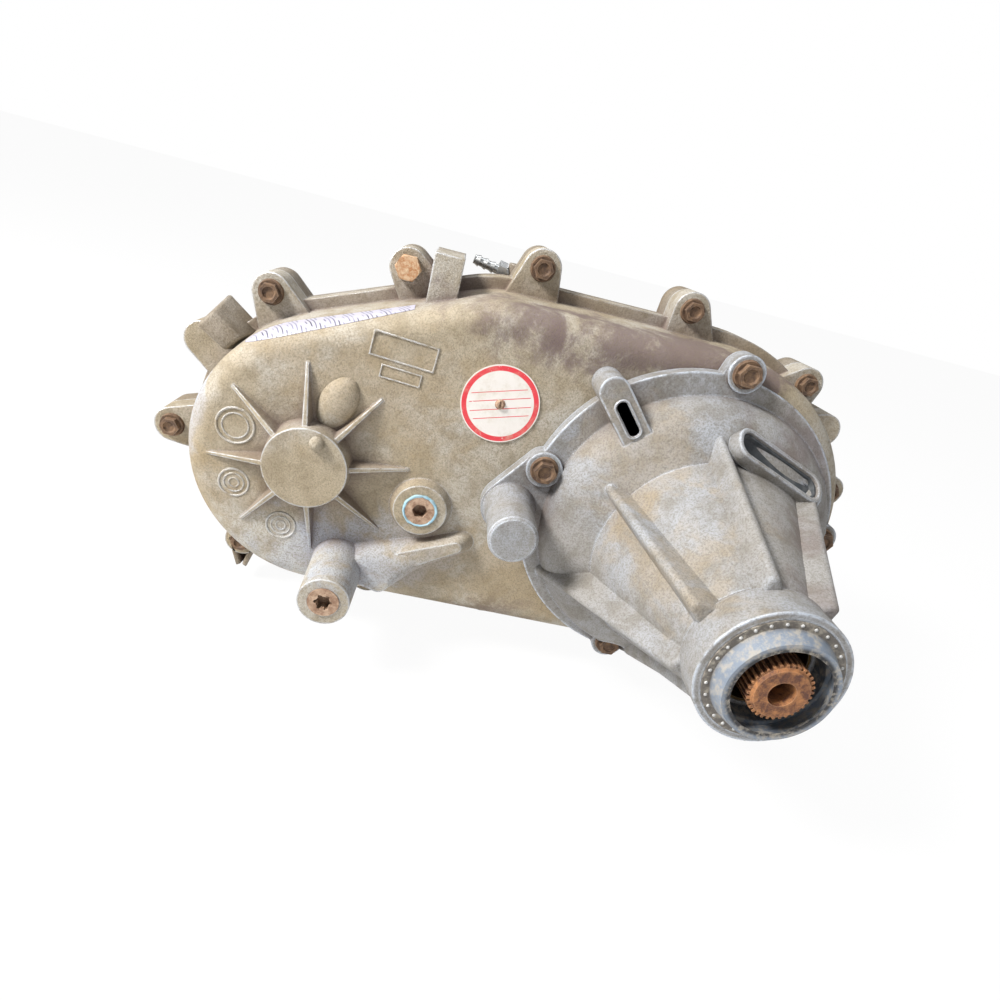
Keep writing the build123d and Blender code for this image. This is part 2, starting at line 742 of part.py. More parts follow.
def bearing(sizes, front, x=0.0):
    """Shielded ball bearing: inner ring, outer ring and the shields that hide the balls."""
    bore, outside, width = sizes
    inner = tube(bore + bearing_ring, bore + running_fit, front, front + width, x)
    outer = tube(outside - seat_fit, outside - bearing_ring, front, front + width, x)
    shields = tube(outside - bearing_ring, bore + bearing_ring, front + 1, front + width - 1, x)
    return group([inner, outer, shields])


def needle_bearing():
    return tube(needle_seat - seat_fit, front_journal + running_fit, needle_front, needle_back - 1, front_axis_x)


def bearing_retainer():
    """Front bearing retainer with the seat of the input seal."""
    body = rod(retainer_radius, 8.0, retainer_seat)
    body += taper(34.0, 38.0, 1.0, 8.0)
    body -= rod(30.0, 0, 11.0)
    body -= rod(input_bearing[0] + 2, 0, retainer_seat + 1)
    for x, z in retainer_bolt_places():
        body -= rod(bolt_radius + bolt_clearance, 0, retainer_seat + 1, x, z)
    return body


def retainer_bolts():
    bolts = []
    for x, z in retainer_bolt_places():
        shank = rod(bolt_radius - seat_fit, 8.0, retainer_seat + 15, x, z)
        bolts.append(shank + hexagon(11.0, 3.0, 8.0, x, z))
    return group(bolts)


def input_seal():
    return tube(30.0 - seat_fit, input_snout + 0.1, 3.0, 11.0)


def front_output_seal():
    return tube(front_seal_radius - seat_fit, yoke_hub + 0.1, front_boss_front + 1, front_seal_back - 0.5, front_axis_x)


input_snout = 20.0
yoke_hub = 22.0
front_journal = 15.0


# Planetary gear set.
sun_pitch = gear_module * sun_teeth / 2
planet_pitch = gear_module * planet_teeth / 2
ring_pitch = gear_module * ring_teeth / 2
carrier_radius = sun_pitch + planet_pitch
half_tooth = pi * gear_module / 4 - backlash
gear_back = gear_front + gear_width
clutch_front = 66.0
carrier_plate_front = gear_back + 2.0
carrier_plate_back = carrier_plate_front + 14.0
dog_rest_front = gear_back - dog_length
low_front = dog_rest_front + range_travel - 1.0


def input_gear():
    """Input shaft with the sun gear, its inner splines and the high-range clutch teeth."""
    body = rod(input_snout, 4.0, 16.0)
    body += rod(input_bearing[0], 16.0, 36.0)
    body += rod(27.0, 36.0, gear_front)
    sun = toothed(sun_teeth, sun_pitch - dedendum, sun_pitch + addendum, sun_pitch, half_tooth)
    body += prism(sun, gear_front, gear_back)
    body -= prism(splined(27, shaft_spline_radius - 1.8, shaft_spline_radius), 0, 43.0)
    body -= rod(pilot_seat, 42.0, gear_back + 1)
    body -= prism(splined(dog_teeth, dog_root, dog_tip + dog_gap, -dog_gap / 2), clutch_front, gear_back + 1)
    return body


pilot_seat = 14.0
pilot_journal = 10.5


def pilot_bearing():
    return tube(pilot_seat - seat_fit, pilot_journal + running_fit, 47.0, 63.0)


def annulus_gear():
    rim_disc = rod(annulus_radius - seat_fit, gear_front - 2, gear_back + 1)
    teeth = toothed(ring_teeth, ring_pitch - addendum, ring_pitch + dedendum, ring_pitch,
                    pi * gear_module / 4 + backlash, 180.0 / ring_teeth)
    return rim_disc - prism(teeth, gear_front - 3, gear_back + 2)


def planet_places():
    return on_circle(carrier_radius, planet_count)


def planet_gear(place):
    x, z = place
    gear = toothed(planet_teeth, planet_pitch - dedendum, planet_pitch + addendum, planet_pitch, half_tooth,
                   180.0 / planet_teeth)
    body = prism(Pos(x, z) * gear, gear_front + side_gap, gear_back - side_gap)
    return body - rod(planet_pin_radius + running_fit, gear_front, gear_back, x, z)


def planet_pins():
    return group([rod(planet_pin_radius, carrier_front, carrier_plate_front + 5, x, z) for x, z in planet_places()])


carrier_front = 44.5
carrier_rim = 57.0


def planet_carrier():
    """Two plates joined by round pillars; the rear plate holds the low-range clutch teeth."""
    body = tube(carrier_rim, 28.0, carrier_front, gear_front - side_gap)
    back = rod(carrier_rim, carrier_plate_front - 1.0, carrier_plate_front + 7)
    back += rod(38.0, carrier_plate_front + 6, carrier_plate_back)
    back -= rod(dog_tip + 1.6, carrier_plate_front - 2, low_front)
    back -= prism(splined(dog_teeth, dog_root, dog_tip + dog_gap, -dog_gap / 2), low_front - 1, carrier_plate_back + 1)
    body += back
    for x, z in on_circle(carrier_radius, planet_count, 180.0 / planet_count):
        body += rod(7.0, gear_front - 1, carrier_plate_front, x, z)
    for x, z in planet_places():
        body -= rod(planet_pin_radius + seat_fit, carrier_front - 1, carrier_plate_front + 5, x, z)
    return body


# Main shaft and what turns with it.
chain_front = joint + 12.0
chain_back = chain_front + chain_width
collar_front = chain_front - 4.0
sprocket_front = collar_front + 2.6
sprocket_back = chain_back + 6.0
sprocket_journal = 21.0
hub_seat = 19.0
hub_front = chain_back + 8.0
hub_back = hub_front + 7.0
spline_front = end_ring - 63.5
shaft_end = end_ring + shaft_proud


def mainshaft():
    """Output shaft in one piece, from the pilot nose to the rear splines."""
    body = rod(pilot_journal, 46.0, clutch_front + 1)
    body += prism(splined(sleeve_spline_teeth, shaft_spline_radius - 1.5, shaft_spline_radius), clutch_front + 0.6,
                  collar_front)
    body += rod(sprocket_journal + 4, collar_front, collar_front + 2.2)
    body += rod(sprocket_journal, collar_front, sprocket_back + 1)
    body += rod(hub_seat, sprocket_back, hub_back)
    body += rod(pump_drive, hub_back, pump_back + 1)
    body += rod(output_bearing[0], pump_back, bearing_back + 4)
    body += rod(output_shaft_radius - 1.5, bearing_back, spline_front + 4)
    splines = prism(splined(32, output_shaft_radius - 1.3, output_shaft_radius + 0.3), spline_front, shaft_end - 1.5)
    splines += taper(output_shaft_radius - 1.3, output_shaft_radius - 2.4, shaft_end - 1.6, shaft_end)
    body += splines
    body -= rod(7.2, shaft_end - 34, shaft_end + 1)
    body -= tube(30.0, hub_seat - 1.5, hub_back + 0.2, hub_back + 1.8)
    body -= tube(30.0, output_bearing[0] - 1.4, bearing_back + 0.2, bearing_back + 1.8)
    return body


pump_drive = 18.0


def shaft_rings():
    """Retaining rings that hold the mode hub and the rear bearing on the shaft."""
    hub_ring = tube(hub_seat + 2.5, hub_seat - 1.4, hub_back + 0.3, hub_back + 1.7)
    bearing_stop = tube(output_bearing[0] + 3.0, output_bearing[0] - 1.3, bearing_back + 0.3, bearing_back + 1.7)
    return group([hub_ring, bearing_stop])


def range_sleeve():
    """Sliding sleeve: outer clutch teeth in front, inner splines, and the fork groove behind."""
    front = dog_rest_front
    body = prism(splined(dog_teeth, dog_root, dog_tip, dog_gap / 2), front, front + dog_length)
    body += rod(22.5, front + dog_length - 0.1, range_groove_back + 3)
    body += rod(36.0, range_groove_front - 3, range_groove_front)
    body += rod(28.0, range_groove_front - 1, range_groove_back + 1)
    body += rod(36.0, range_groove_back, range_groove_back + 3)
    bore = splined(sleeve_spline_teeth, shaft_spline_radius - 1.3, shaft_spline_radius + 0.25, -0.15)
    return body - prism(bore, front - 1, range_groove_back + 4)


range_groove_front = 95.5
range_groove_back = 102.5


def sprocket_wheel(bore, x, first):
    """Wheel for the toothed chain, with a gap at the given angle."""
    pitch_radius = chain_pitch / 2 / sin(pi / sprocket_teeth)
    root = pitch_radius - 5.6
    tip = pitch_radius - 1.1
    gear = splined_sprocket(root, tip, first + 180.0 / sprocket_teeth)
    wheel = prism(Pos(x, 0) * gear, chain_front + 0.5, chain_back - 0.5)
    web = tube(root - 8, bore + 8, chain_front - 1, chain_front + 8, x)
    web += tube(root - 8, bore + 8, chain_back - 8, chain_back + 1, x)
    return wheel - web - rod(bore, chain_front - 1, chain_back + 1, x)


def splined_sprocket(root, tip, first):
    points = []
    for k in range(sprocket_teeth):
        centre = radians(first) + 2 * pi * k / sprocket_teeth
        for radius, half in ((root, 2.25), (tip, 1.15)):
            points += [(radius * cos(centre - half / radius), radius * sin(centre - half / radius))]
        for radius, half in ((tip, 1.15), (root, 2.25)):
            points += [(radius * cos(centre + half / radius), radius * sin(centre + half / radius))]
    return make_face(Polyline(*points, close=True))


def drive_sprocket():
    wheel = sprocket_wheel(sprocket_journal + running_fit, 0.0, 90.0)
    wheel += tube(mode_root - 1, sprocket_journal + running_fit, sprocket_front, sprocket_back - 0.5)
    clutch = prism(splined(mode_teeth, mode_root, mode_tip, dog_gap / 2), mode_front, sprocket_back - 0.5)
    return wheel + (clutch - rod(sprocket_journal + running_fit, mode_front - 1, sprocket_back + 1))


mode_front = chain_back + 1.8
mode_groove_front = mode_front + 2.2
mode_groove_back = mode_groove_front + 5.0
mode_back = hub_back + 1.0


def mode_hub():
    teeth = prism(splined(mode_teeth, mode_root, mode_tip, dog_gap / 2), hub_front, hub_back)
    return teeth - rod(hub_seat + seat_fit, hub_front - 1, hub_back + 1)


def mode_sleeve():
    """Sleeve that locks the drive sprocket to the hub; it slides back to release it."""
    body = rod(38.0, mode_front, mode_groove_front)
    body += rod(34.0, mode_front, mode_back)
    body += rod(38.0, mode_groove_back, mode_groove_back + 2.2)
    bore = splined(mode_teeth, mode_root + 0.2, mode_tip + dog_gap, -dog_gap / 2)
    return body - prism(bore, mode_front - 1, mode_back + 1)


# Chain loop.
def chain_pin(number):
    """Place of a chain pin, counted clockwise from the top of the drive sprocket."""
    radius = chain_pitch / 2 / sin(pi / sprocket_teeth)
    step = 2 * pi / sprocket_teeth
    wrap = sprocket_teeth / 2
    strand = (chain_links - sprocket_teeth) / 2
    if number <= wrap:
        turn = pi / 2 - number * step
        return (radius * cos(turn), radius * sin(turn))
    if number <= wrap + strand:
        return (-(number - wrap) * chain_pitch, -radius)
    if number <= 2 * wrap + strand:
        turn = -pi / 2 - (number - wrap - strand) * step
        return (front_axis_x + radius * cos(turn), radius * sin(turn))
    return (front_axis_x + (number - 2 * wrap - strand) * chain_pitch, radius)


def drive_chain():
    """Toothed chain: plates with two toes each, laid in turn on the two halves of the width."""
    middle = (chain_front + chain_back) / 2
    plates = []
    for k in range(chain_links):
        x0, z0 = chain_pin(k)
        x1, z1 = chain_pin((k + 1) % chain_links)
        half = hypot(x1 - x0, z1 - z0) / 2
        outline = Polygon(
            (-2.3 - half, 4.2), (-2.3 - half, -1.0), (-1.4 - half, -4.6), (1.5 - half, -4.6), (-1.5, -0.1), (1.5, -0.1),
            (half - 1.5, -4.6), (half + 1.4, -4.6), (half + 2.3, -1.0), (half + 2.3, 4.2), align=None)
        turn = degrees(atan2(z1 - z0, x1 - x0))
        plate = Pos((x0 + x1) / 2, (z0 + z1) / 2) * Rot(0, 0, turn) * outline
        front, back = (chain_front, middle) if k % 2 else (middle, chain_back)
        plates.append(prism(plate, front, back))
    return group(plates)


# Front output.
yoke_front = 10.0
yoke_back = 53.5


def front_output_shaft():
    body = rod(11.0, 4.0, 22.0, front_axis_x)
    body += rod(16.0, 20.0, yoke_back + 0.5, front_axis_x)
    body += rod(front_bearing[0], yoke_back, front_bearing_front + front_bearing[2], front_axis_x)
    body += rod(front_bearing[0] + 4, front_bearing_front + front_bearing[2], chain_front + 0.2, front_axis_x)
    body += rod(front_bearing[0] + 1, chain_front, chain_back, front_axis_x)
    body += rod(front_bearing[0] + 1, chain_back - 1, chain_back + 4, front_axis_x)
    body += rod(front_journal, chain_back + 3, needle_back - 1.5, front_axis_x)
    return body


def driven_sprocket():
    wheel = sprocket_wheel(front_bearing[0] + 1 + seat_fit, front_axis_x, -90.0)
    return wheel


def front_yoke():
    """Output flange with its bolt holes and the hub that runs in the seal."""
    body = rod(yoke_hub, yoke_front, yoke_back, front_axis_x)
    body += rod(yoke_radius, yoke_front + 6, yoke_front + 16, front_axis_x)
    body += taper(yoke_hub + 8, yoke_hub, yoke_front + 15, yoke_front + 26, front_axis_x)
    body -= rod(16.0 + seat_fit, yoke_front + 10, yoke_back + 1, front_axis_x)
    body -= rod(15.0, yoke_front - 1, yoke_front + 7, front_axis_x)
    body -= rod(11.0 + seat_fit, yoke_front, yoke_front + 11, front_axis_x)
    for x, z in on_circle(yoke_bolt_circle, yoke_bolt_count, 45.0):
        body -= rod(yoke_hole_radius, yoke_front, yoke_front + 20, x + front_axis_x, z)
    return body


def yoke_nut():
    nut = hexagon(24.0, yoke_front - 4, yoke_front + 7, front_axis_x)
    return nut - rod(11.0 + seat_fit, yoke_front - 5, yoke_front + 8, front_axis_x)


# Oil pump.
pump_seat = 40.0
pump_housing_radius = 52.0


def rotor_profile(clearance):
    """Inner rotor outline, the curve that stays in touch with every lobe of the outer rotor."""
    pins = pump_inner_lobes + 1
    points = []
    steps = 20 * pump_inner_lobes
    for k in range(steps):
        t = 2 * pi * k / steps
        lean = atan2(sin((1 - pins) * t), pump_pin_circle / (pump_offset * pins) - cos((1 - pins) * t))
        reach = pump_pin_radius + clearance
        x = pump_pin_circle * cos(t) - reach * cos(t + lean) - pump_offset * cos(pins * t)
        z = -pump_pin_circle * sin(t) + reach * sin(t + lean) + pump_offset * sin(pins * t)
        points.append((x, z))
    return make_face(Polyline(*points, close=True))


def pump_inner_rotor():
    front = pump_front + 3
    rotor = prism(rotor_profile(rotor_gap), front + 0.1, front + pump_rotor_width - 0.1)
    return rotor - rod(pump_drive + seat_fit, front - 1, front + pump_rotor_width + 1)


def pump_outer_rotor():
    front = pump_front + 3
    root = pump_pin_circle - pump_pin_radius + 2 * pump_offset + 0.6
    hole = Circle(root)
    for x, z in on_circle(pump_pin_circle, pump_inner_lobes + 1, 180.0):
        hole -= Pos(x, z) * Circle(pump_pin_radius)
    rotor = rod(pump_seat - running_fit, front + 0.1, front + pump_rotor_width - 0.1, pump_offset)
    return rotor - prism(Pos(pump_offset, 0) * hole, front - 1, front + pump_rotor_width + 1)


def pump_housing():
    front = pump_front + 3
    body = rod(pump_housing_radius, pump_front, pump_back)
    body -= rod(pump_seat, front, front + pump_rotor_width, pump_offset)
    body -= rod(pump_drive + 0.3, pump_front - 1, pump_back + 1)
    body -= rod(pickup_radius + seat_fit, pump_front - 1, pump_front + 2.0, pickup_x, pickup_port)
    return body


pickup_radius = 5.0
pickup_x = 9.0
pickup_port = -44.5
pickup_station = rear_face - 16.0
screen_z = -79.0


def pickup_tube():
    """Pickup pipe from the pump down to the screen in the sump."""
    route = FilletPolyline((pickup_x, -(pump_front + 2), pickup_port), (pickup_x, -pickup_station, pickup_port),
                           (pickup_x, -pickup_station, screen_z + 6), radius=8.0)
    return sweep(Plane(origin=route @ 0, z_dir=route % 0) * Circle(pickup_radius), path=route)


def oil_screen():
    body = Pos(pickup_x - 9, -pickup_station, screen_z + 2.2) * Box(36, 18, 7.6)
    body += Pos(pickup_x, -pickup_station, screen_z + 6) * Cylinder(7.0, 6)
    body -= Pos(pickup_x, -pickup_station, screen_z + 6) * Cylinder(pickup_radius + seat_fit, 10, align=ON_FACE)
    return body


# Shift mechanism.
fork_pad = 0.3
fork_hub_radius = 13.0
mode_fork_front = mode_groove_front + 0.2
mode_fork_back = mode_groove_back - 0.2
range_fork_front = range_groove_front + 0.25
range_fork_back = range_groove_back - 0.25
rail_front = 58.0
rail_back = rail_boss_end - wall - 8.0
crest_centre = sector_crest + 0.6
notch_radius = 2.2
plunger_tip = sector_station - sector_crest - 0.1
lever_top = sector_boss_outer - 1.0


def fork_web(groove_radius, front, back):
    """Flat fork arm from the rail to a half ring that sits in the groove of a sleeve."""
    arm = hull([(rail_x, rail_z, fork_hub_radius - 1), (-8.0, 0.0, groove_radius + 10)])
    arm -= Circle(groove_radius + fork_pad)
    arm -= Pos(groove_radius + 16, 0) * Rectangle(2 * groove_radius + 36, 4 * groove_radius)
    window = hull([(-104.0, 0.0, 6.0), (-72.0, 0.0, 14.0)])
    return prism(arm - window, front, back)


def shift_rail():
    """Rail that carries both forks, with its stop groove."""
    body = rod(rail_radius, rail_front, rail_back, rail_x, rail_z)
    return body - tube(rail_radius + 5, rail_radius - 1.2, 128.0, 131.0, rail_x, rail_z)


def mode_fork():
    """Fork fixed on the rail; it works the mode sleeve."""
    body = rod(fork_hub_radius, mode_fork_front - 15, mode_fork_back + 2, rail_x, rail_z)
    body += fork_web(34.0, mode_fork_front, mode_fork_back)
    return body - rod(rail_radius + seat_fit, 100.0, mode_fork_back + 3, rail_x, rail_z)


def range_fork():
    """Fork that slides on the rail; the sector pin works it through the slot below its hub."""
    hub_front = range_fork_front - 15
    body = rod(fork_hub_radius, hub_front, range_fork_back, rail_x, rail_z)
    body += fork_web(28.0, range_fork_front, range_fork_back)
    foot_top = rail_z - rail_radius - 3
    foot = Pos(sector_x + sector_arm - 1, -pin_station(), (lug_bottom + foot_top) / 2)
    body += foot * Box(22.0, 2 * sector_pin_radius + 6, foot_top - lug_bottom)
    body += rod(fork_hub_radius, pin_station() - sector_pin_radius - 3, hub_front + 1, rail_x, rail_z)
    slot = Pos(sector_x + sector_arm - 1, -pin_station(), lug_bottom - 1)
    body -= slot * extrude(SlotOverall(14.0, 2 * sector_pin_radius + 0.5), lug_height)
    return body - rod(rail_radius + running_fit, 60.0, range_fork_back + 1, rail_x, rail_z)


lug_bottom = sector_plate_top + 0.5
lug_height = 7.5


def pin_station():
    return sector_station - sector_arm * sin(radians(lever_half_swing))


def shift_sector():
    """Sector plate with its pin and detent notches, in one piece with the shift shaft."""
    thickness = sector_plate_thickness
    outline = Circle(sector_crest)
    pin_turn = radians(lever_half_swing)
    pin = (sector_arm * cos(pin_turn), sector_arm * sin(pin_turn))
    outline += hull([(0.0, 0.0, 12.0), (*pin, sector_pin_radius + 3.5)])
    for k in range(3):
        outline -= Rot(0, 0, 90 + k * lever_half_swing) * Pos(crest_centre, 0) * Circle(notch_radius)
    body = Pos(0, 0, sector_plate_top - thickness) * extrude(outline, thickness)
    body += Pos(*pin, sector_plate_top - 1) * Cylinder(sector_pin_radius, lug_height - 0.5, align=ON_FACE)
    body += Pos(0, 0, sector_plate_top) * Cylinder(sector_shaft_radius, 3.0, align=ON_FACE)
    length = sector_plate_top - lever_top
    body += Pos(0, 0, lever_top) * Cylinder(sector_shaft_radius, length, align=ON_FACE)
    body += Pos(0, 0, lever_top - lever_thickness) * lever_square(lever_thickness + 0.5)
    body += Pos(0, 0, lever_top - lever_thickness - 11) * Cylinder(5.0, 11, align=ON_FACE)
    return Pos(sector_x, -sector_station, 0) * body


def lever_square(height, slack=0.0):
    flats = Rectangle(2 * 4.6 + slack, 30) & Circle(6.4 + slack)
    return extrude(flats, height)


def shift_lever():
    """Lever on the flats of the shift shaft, which points forwards and ends in a cable eye."""
    turn = 90 + lever_half_swing
    outline = hull([(0.0, 0.0, 13.0), (lever_length, 0.0, 8.0)])
    body = Pos(0, 0, -lever_thickness) * extrude(Rot(0, 0, turn) * outline, lever_thickness)
    body -= Rot(0, 0, turn) * Pos(lever_length, 0, -lever_thickness) * Cylinder(5.0, 30)
    body -= Pos(0, 0, -lever_thickness - 1) * lever_square(lever_thickness + 2, 2 * seat_fit)
    return Pos(sector_x, -sector_station, lever_top) * body


def lever_nut():
    nut = extrude(RegularPolygon(8.0, 6, major_radius=False), 7)
    nut += Pos(0, 0, 7) * Cylinder(9.0, 1.5, align=ON_FACE)
    nut -= Cylinder(5.0 + seat_fit, 40)
    return Pos(sector_x, -sector_station, lever_top - lever_thickness - 8.5) * nut


def detent_plunger():
    """Plunger that drops into the notches of the sector."""
    x = sector_x
    z = sector_plate_top - sector_plate_thickness / 2
    body = rod(detent_radius, plunger_tip - 11, plunger_tip - 2.6, x, z)
    body += taper(detent_radius, 2.0, plunger_tip - 2.6, plunger_tip - 1.2, x, z)
    body += taper(2.0, 0.8, plunger_tip - 1.2, plunger_tip, x, z)
    return body


def detent_spring():
    """Spring between the plug and the plunger."""
    z = sector_plate_top - sector_plate_thickness / 2
    wire = 0.7
    length = plunger_tip - 11 - detent_plug_back
    path = Helix(pitch=(length - 2 * wire) / 5, height=length - 2 * wire - 0.1, radius=3.6)
    coil = sweep(Plane(origin=path @ 0, z_dir=path % 0) * Circle(wire), path=path, is_frenet=True)
    return at(detent_plug_back + wire + 0.05) * Pos(sector_x, z, 0) * coil


detent_plug_back = 48.0


def detent_plug():
    z = sector_plate_top - sector_plate_thickness / 2
    radius = detent_radius + running_fit - seat_fit
    body = rod(radius, detent_front + 1, detent_plug_back, sector_x, z)
    return body - hexagon(5.0, detent_front, detent_front + 4, sector_x, z)


# One named node for each piece; identical fasteners share one node.
pieces = [
    front_case, rear_case, extension_housing, case_bolts, hex_bolt, dowel_pins, extension_bolts,
    fill_plug, drain_plug, id_tag, tag_screw, strip_label, breather_fitting, slot_plug, adapter_studs,
    output_seal, output_bushing, bearing_retainer, retainer_bolts, input_seal, annulus_gear,
    front_output_seal, needle_bearing, pump_housing, pickup_tube, oil_screen,
    input_gear, pilot_bearing, planet_pins, planet_carrier,
    mainshaft, shaft_rings, range_sleeve, drive_sprocket, mode_hub, mode_sleeve, drive_chain,
    front_output_shaft, driven_sprocket, front_yoke, yoke_nut, pump_inner_rotor, pump_outer_rotor,
    shift_rail, mode_fork, range_fork, shift_sector, shift_lever, lever_nut,
    detent_plunger, detent_spring, detent_plug,
]
for piece in pieces:
    parts[piece.__name__] = piece()
parts["input_bearing"] = bearing(input_bearing, retainer_seat)
parts["rear_bearing"] = bearing(output_bearing, bearing_front)
parts["front_output_bearing"] = bearing(front_bearing, front_bearing_front, front_axis_x)
for number, place in enumerate(planet_places(), 1):
    parts["planet_gear_" + str(number)] = planet_gear(place)

os.makedirs("parts", exist_ok=True)
for name, solid in parts.items():
    export_step(solid, os.path.join("parts", name + ".step"))
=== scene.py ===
import bpy
import math
from mathutils import Matrix, Vector


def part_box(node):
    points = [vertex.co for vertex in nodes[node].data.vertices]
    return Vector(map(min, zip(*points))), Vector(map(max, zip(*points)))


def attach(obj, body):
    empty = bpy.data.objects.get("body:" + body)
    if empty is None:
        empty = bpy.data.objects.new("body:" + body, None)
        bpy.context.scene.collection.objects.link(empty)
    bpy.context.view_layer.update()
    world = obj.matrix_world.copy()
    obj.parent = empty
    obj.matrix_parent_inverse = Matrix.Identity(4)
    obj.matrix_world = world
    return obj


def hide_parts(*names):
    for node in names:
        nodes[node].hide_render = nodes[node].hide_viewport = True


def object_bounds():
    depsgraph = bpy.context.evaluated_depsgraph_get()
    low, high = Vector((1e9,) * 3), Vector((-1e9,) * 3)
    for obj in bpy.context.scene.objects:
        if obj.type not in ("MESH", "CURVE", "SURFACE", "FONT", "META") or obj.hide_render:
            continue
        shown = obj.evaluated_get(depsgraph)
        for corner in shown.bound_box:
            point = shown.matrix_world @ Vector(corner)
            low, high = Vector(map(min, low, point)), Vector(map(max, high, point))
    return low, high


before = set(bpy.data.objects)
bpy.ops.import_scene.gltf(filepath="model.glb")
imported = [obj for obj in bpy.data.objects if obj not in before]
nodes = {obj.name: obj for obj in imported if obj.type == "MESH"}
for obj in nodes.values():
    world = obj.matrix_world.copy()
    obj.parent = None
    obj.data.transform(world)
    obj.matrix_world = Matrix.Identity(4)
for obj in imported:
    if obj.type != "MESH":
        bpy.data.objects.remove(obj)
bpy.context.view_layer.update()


# Shader building blocks. Each effect that several finishes share is one node group.
def start_group(name, inputs, outputs):
    """Empty node group; inputs and outputs are (name, socket type, value)."""
    group = bpy.data.node_groups.new(name, "ShaderNodeTree")
    for label, kind, value in inputs:
        socket = group.interface.new_socket(name=label, in_out="INPUT", socket_type=kind)
        if value is not None:
            socket.default_value = value
    for label, kind in outputs:
        group.interface.new_socket(name=label, in_out="OUTPUT", socket_type=kind)
    entry = group.nodes.new("NodeGroupInput")
    leave = group.nodes.new("NodeGroupOutput")
    return group, entry, leave


def noise(tree, coordinates, scale, detail=4.0, roughness=0.55, distortion=0.0):
    node = tree.nodes.new("ShaderNodeTexNoise")
    node.inputs["Detail"].default_value = detail
    node.inputs["Roughness"].default_value = roughness
    node.inputs["Distortion"].default_value = distortion
    if isinstance(scale, (int, float)):
        node.inputs["Scale"].default_value = scale
    else:
        tree.links.new(scale, node.inputs["Scale"])
    tree.links.new(coordinates, node.inputs["Vector"])
    return node.outputs["Fac"]


def spread(tree, value, low, high, out_low=0.0, out_high=1.0):
    """Map a value from low..high to out_low..out_high, clamped and eased."""
    node = tree.nodes.new("ShaderNodeMapRange")
    node.interpolation_type = "SMOOTHSTEP"
    node.inputs["From Min"].default_value = low
    node.inputs["From Max"].default_value = high
    node.inputs["To Min"].default_value = out_low
    node.inputs["To Max"].default_value = out_high
    tree.links.new(value, node.inputs["Value"])
    return node.outputs["Result"]


def calculate(tree, operation, first, second=None, clamped=True):
    """Math node. Sums, differences and products stay between 0 and 1 unless clamped is off."""
    node = tree.nodes.new("ShaderNodeMath")
    node.operation = operation
    node.use_clamp = clamped and operation in ("MULTIPLY", "ADD", "SUBTRACT")
    for socket, value in zip(node.inputs, (first, second)):
        if isinstance(value, (int, float)):
            socket.default_value = value
        elif value is not None:
            tree.links.new(value, socket)
    return node.outputs["Value"]


def weighted_sum(tree, *terms):
    """Sum of values, each with its share."""
    total = None
    for value, share in terms:
        part = calculate(tree, "MULTIPLY", value, share)
        total = part if total is None else calculate(tree, "ADD", total, part)
    return total


def measure(tree, operation, first, second=None):
    """Vector math that gives one number, such as a length or a dot product."""
    node = tree.nodes.new("ShaderNodeVectorMath")
    node.operation = operation
    for socket, value in zip(node.inputs, (first, second)):
        if isinstance(value, tuple):
            socket.default_value = value
        elif value is not None:
            tree.links.new(value, socket)
    return node.outputs["Value"]


def remap(tree, coordinates, kind="POINT", **changes):
    """Coordinates moved, turned or stretched before they are used."""
    node = tree.nodes.new("ShaderNodeMapping")
    node.vector_type = kind
    for label, value in changes.items():
        node.inputs[label].default_value = value
    tree.links.new(coordinates, node.inputs["Vector"])
    return node.outputs["Vector"]


def axis_distance(tree, coordinates):
    """Distance from the Y axis of the coordinates."""
    split = tree.nodes.new("ShaderNodeSeparateXYZ")
    tree.links.new(coordinates, split.inputs["Vector"])
    squares = [calculate(tree, "POWER", split.outputs[axis], 2.0) for axis in ("X", "Z")]
    return calculate(tree, "POWER", calculate(tree, "ADD", *squares), 0.5)


def blend_colours(tree, amount, first, second):
    node = tree.nodes.new("ShaderNodeMix")
    node.data_type = "RGBA"
    for socket, value in ((node.inputs[0], amount), (node.inputs[6], first), (node.inputs[7], second)):
        if isinstance(value, tuple):
            socket.default_value = (*value, 1.0)
        elif isinstance(value, (int, float)):
            socket.default_value = value
        else:
            tree.links.new(value, socket)
    return node.outputs[2]


def lay_over(tree, colour, tint, mask, share):
    """Cover a colour with a tint where the mask is high, up to a share."""
    return blend_colours(tree, calculate(tree, "MULTIPLY", mask, share), colour, tint)


def darker(colour, share):
    return tuple(share * c for c in colour)


def build_edge_wear_and_shade():
    """Masks for burnished outer edges, and from occlusion a mask of hollows for dirt and painted shade."""
    group, entry, leave = start_group(
        "edge_wear_and_shade",
        [("Edge Width", "NodeSocketFloat", 0.0016), ("Hollow Reach", "NodeSocketFloat", 0.02)],
        [("Edges", "NodeSocketFloat"), ("Dirt And Shade", "NodeSocketFloat")])
    geometry = group.nodes.new("ShaderNodeNewGeometry")
    rounded = group.nodes.new("ShaderNodeBevel")
    rounded.samples = 6
    group.links.new(entry.outputs["Edge Width"], rounded.inputs["Radius"])
    agreement = measure(group, "DOT_PRODUCT", rounded.outputs["Normal"], geometry.outputs["Normal"])
    turned = spread(group, agreement, 0.995, 0.86)
    openness = group.nodes.new("ShaderNodeAmbientOcclusion")
    openness.samples = 6
    openness.only_local = True
    group.links.new(entry.outputs["Hollow Reach"], openness.inputs["Distance"])
    outer = spread(group, openness.outputs["AO"], 0.62, 0.86)
    group.links.new(calculate(group, "MULTIPLY", turned, outer), leave.inputs["Edges"])
    # The hollows mask rises with occlusion: painted shade as well as dirt.
    group.links.new(spread(group, openness.outputs["AO"], 0.85, 0.25), leave.inputs["Dirt And Shade"])
    return group


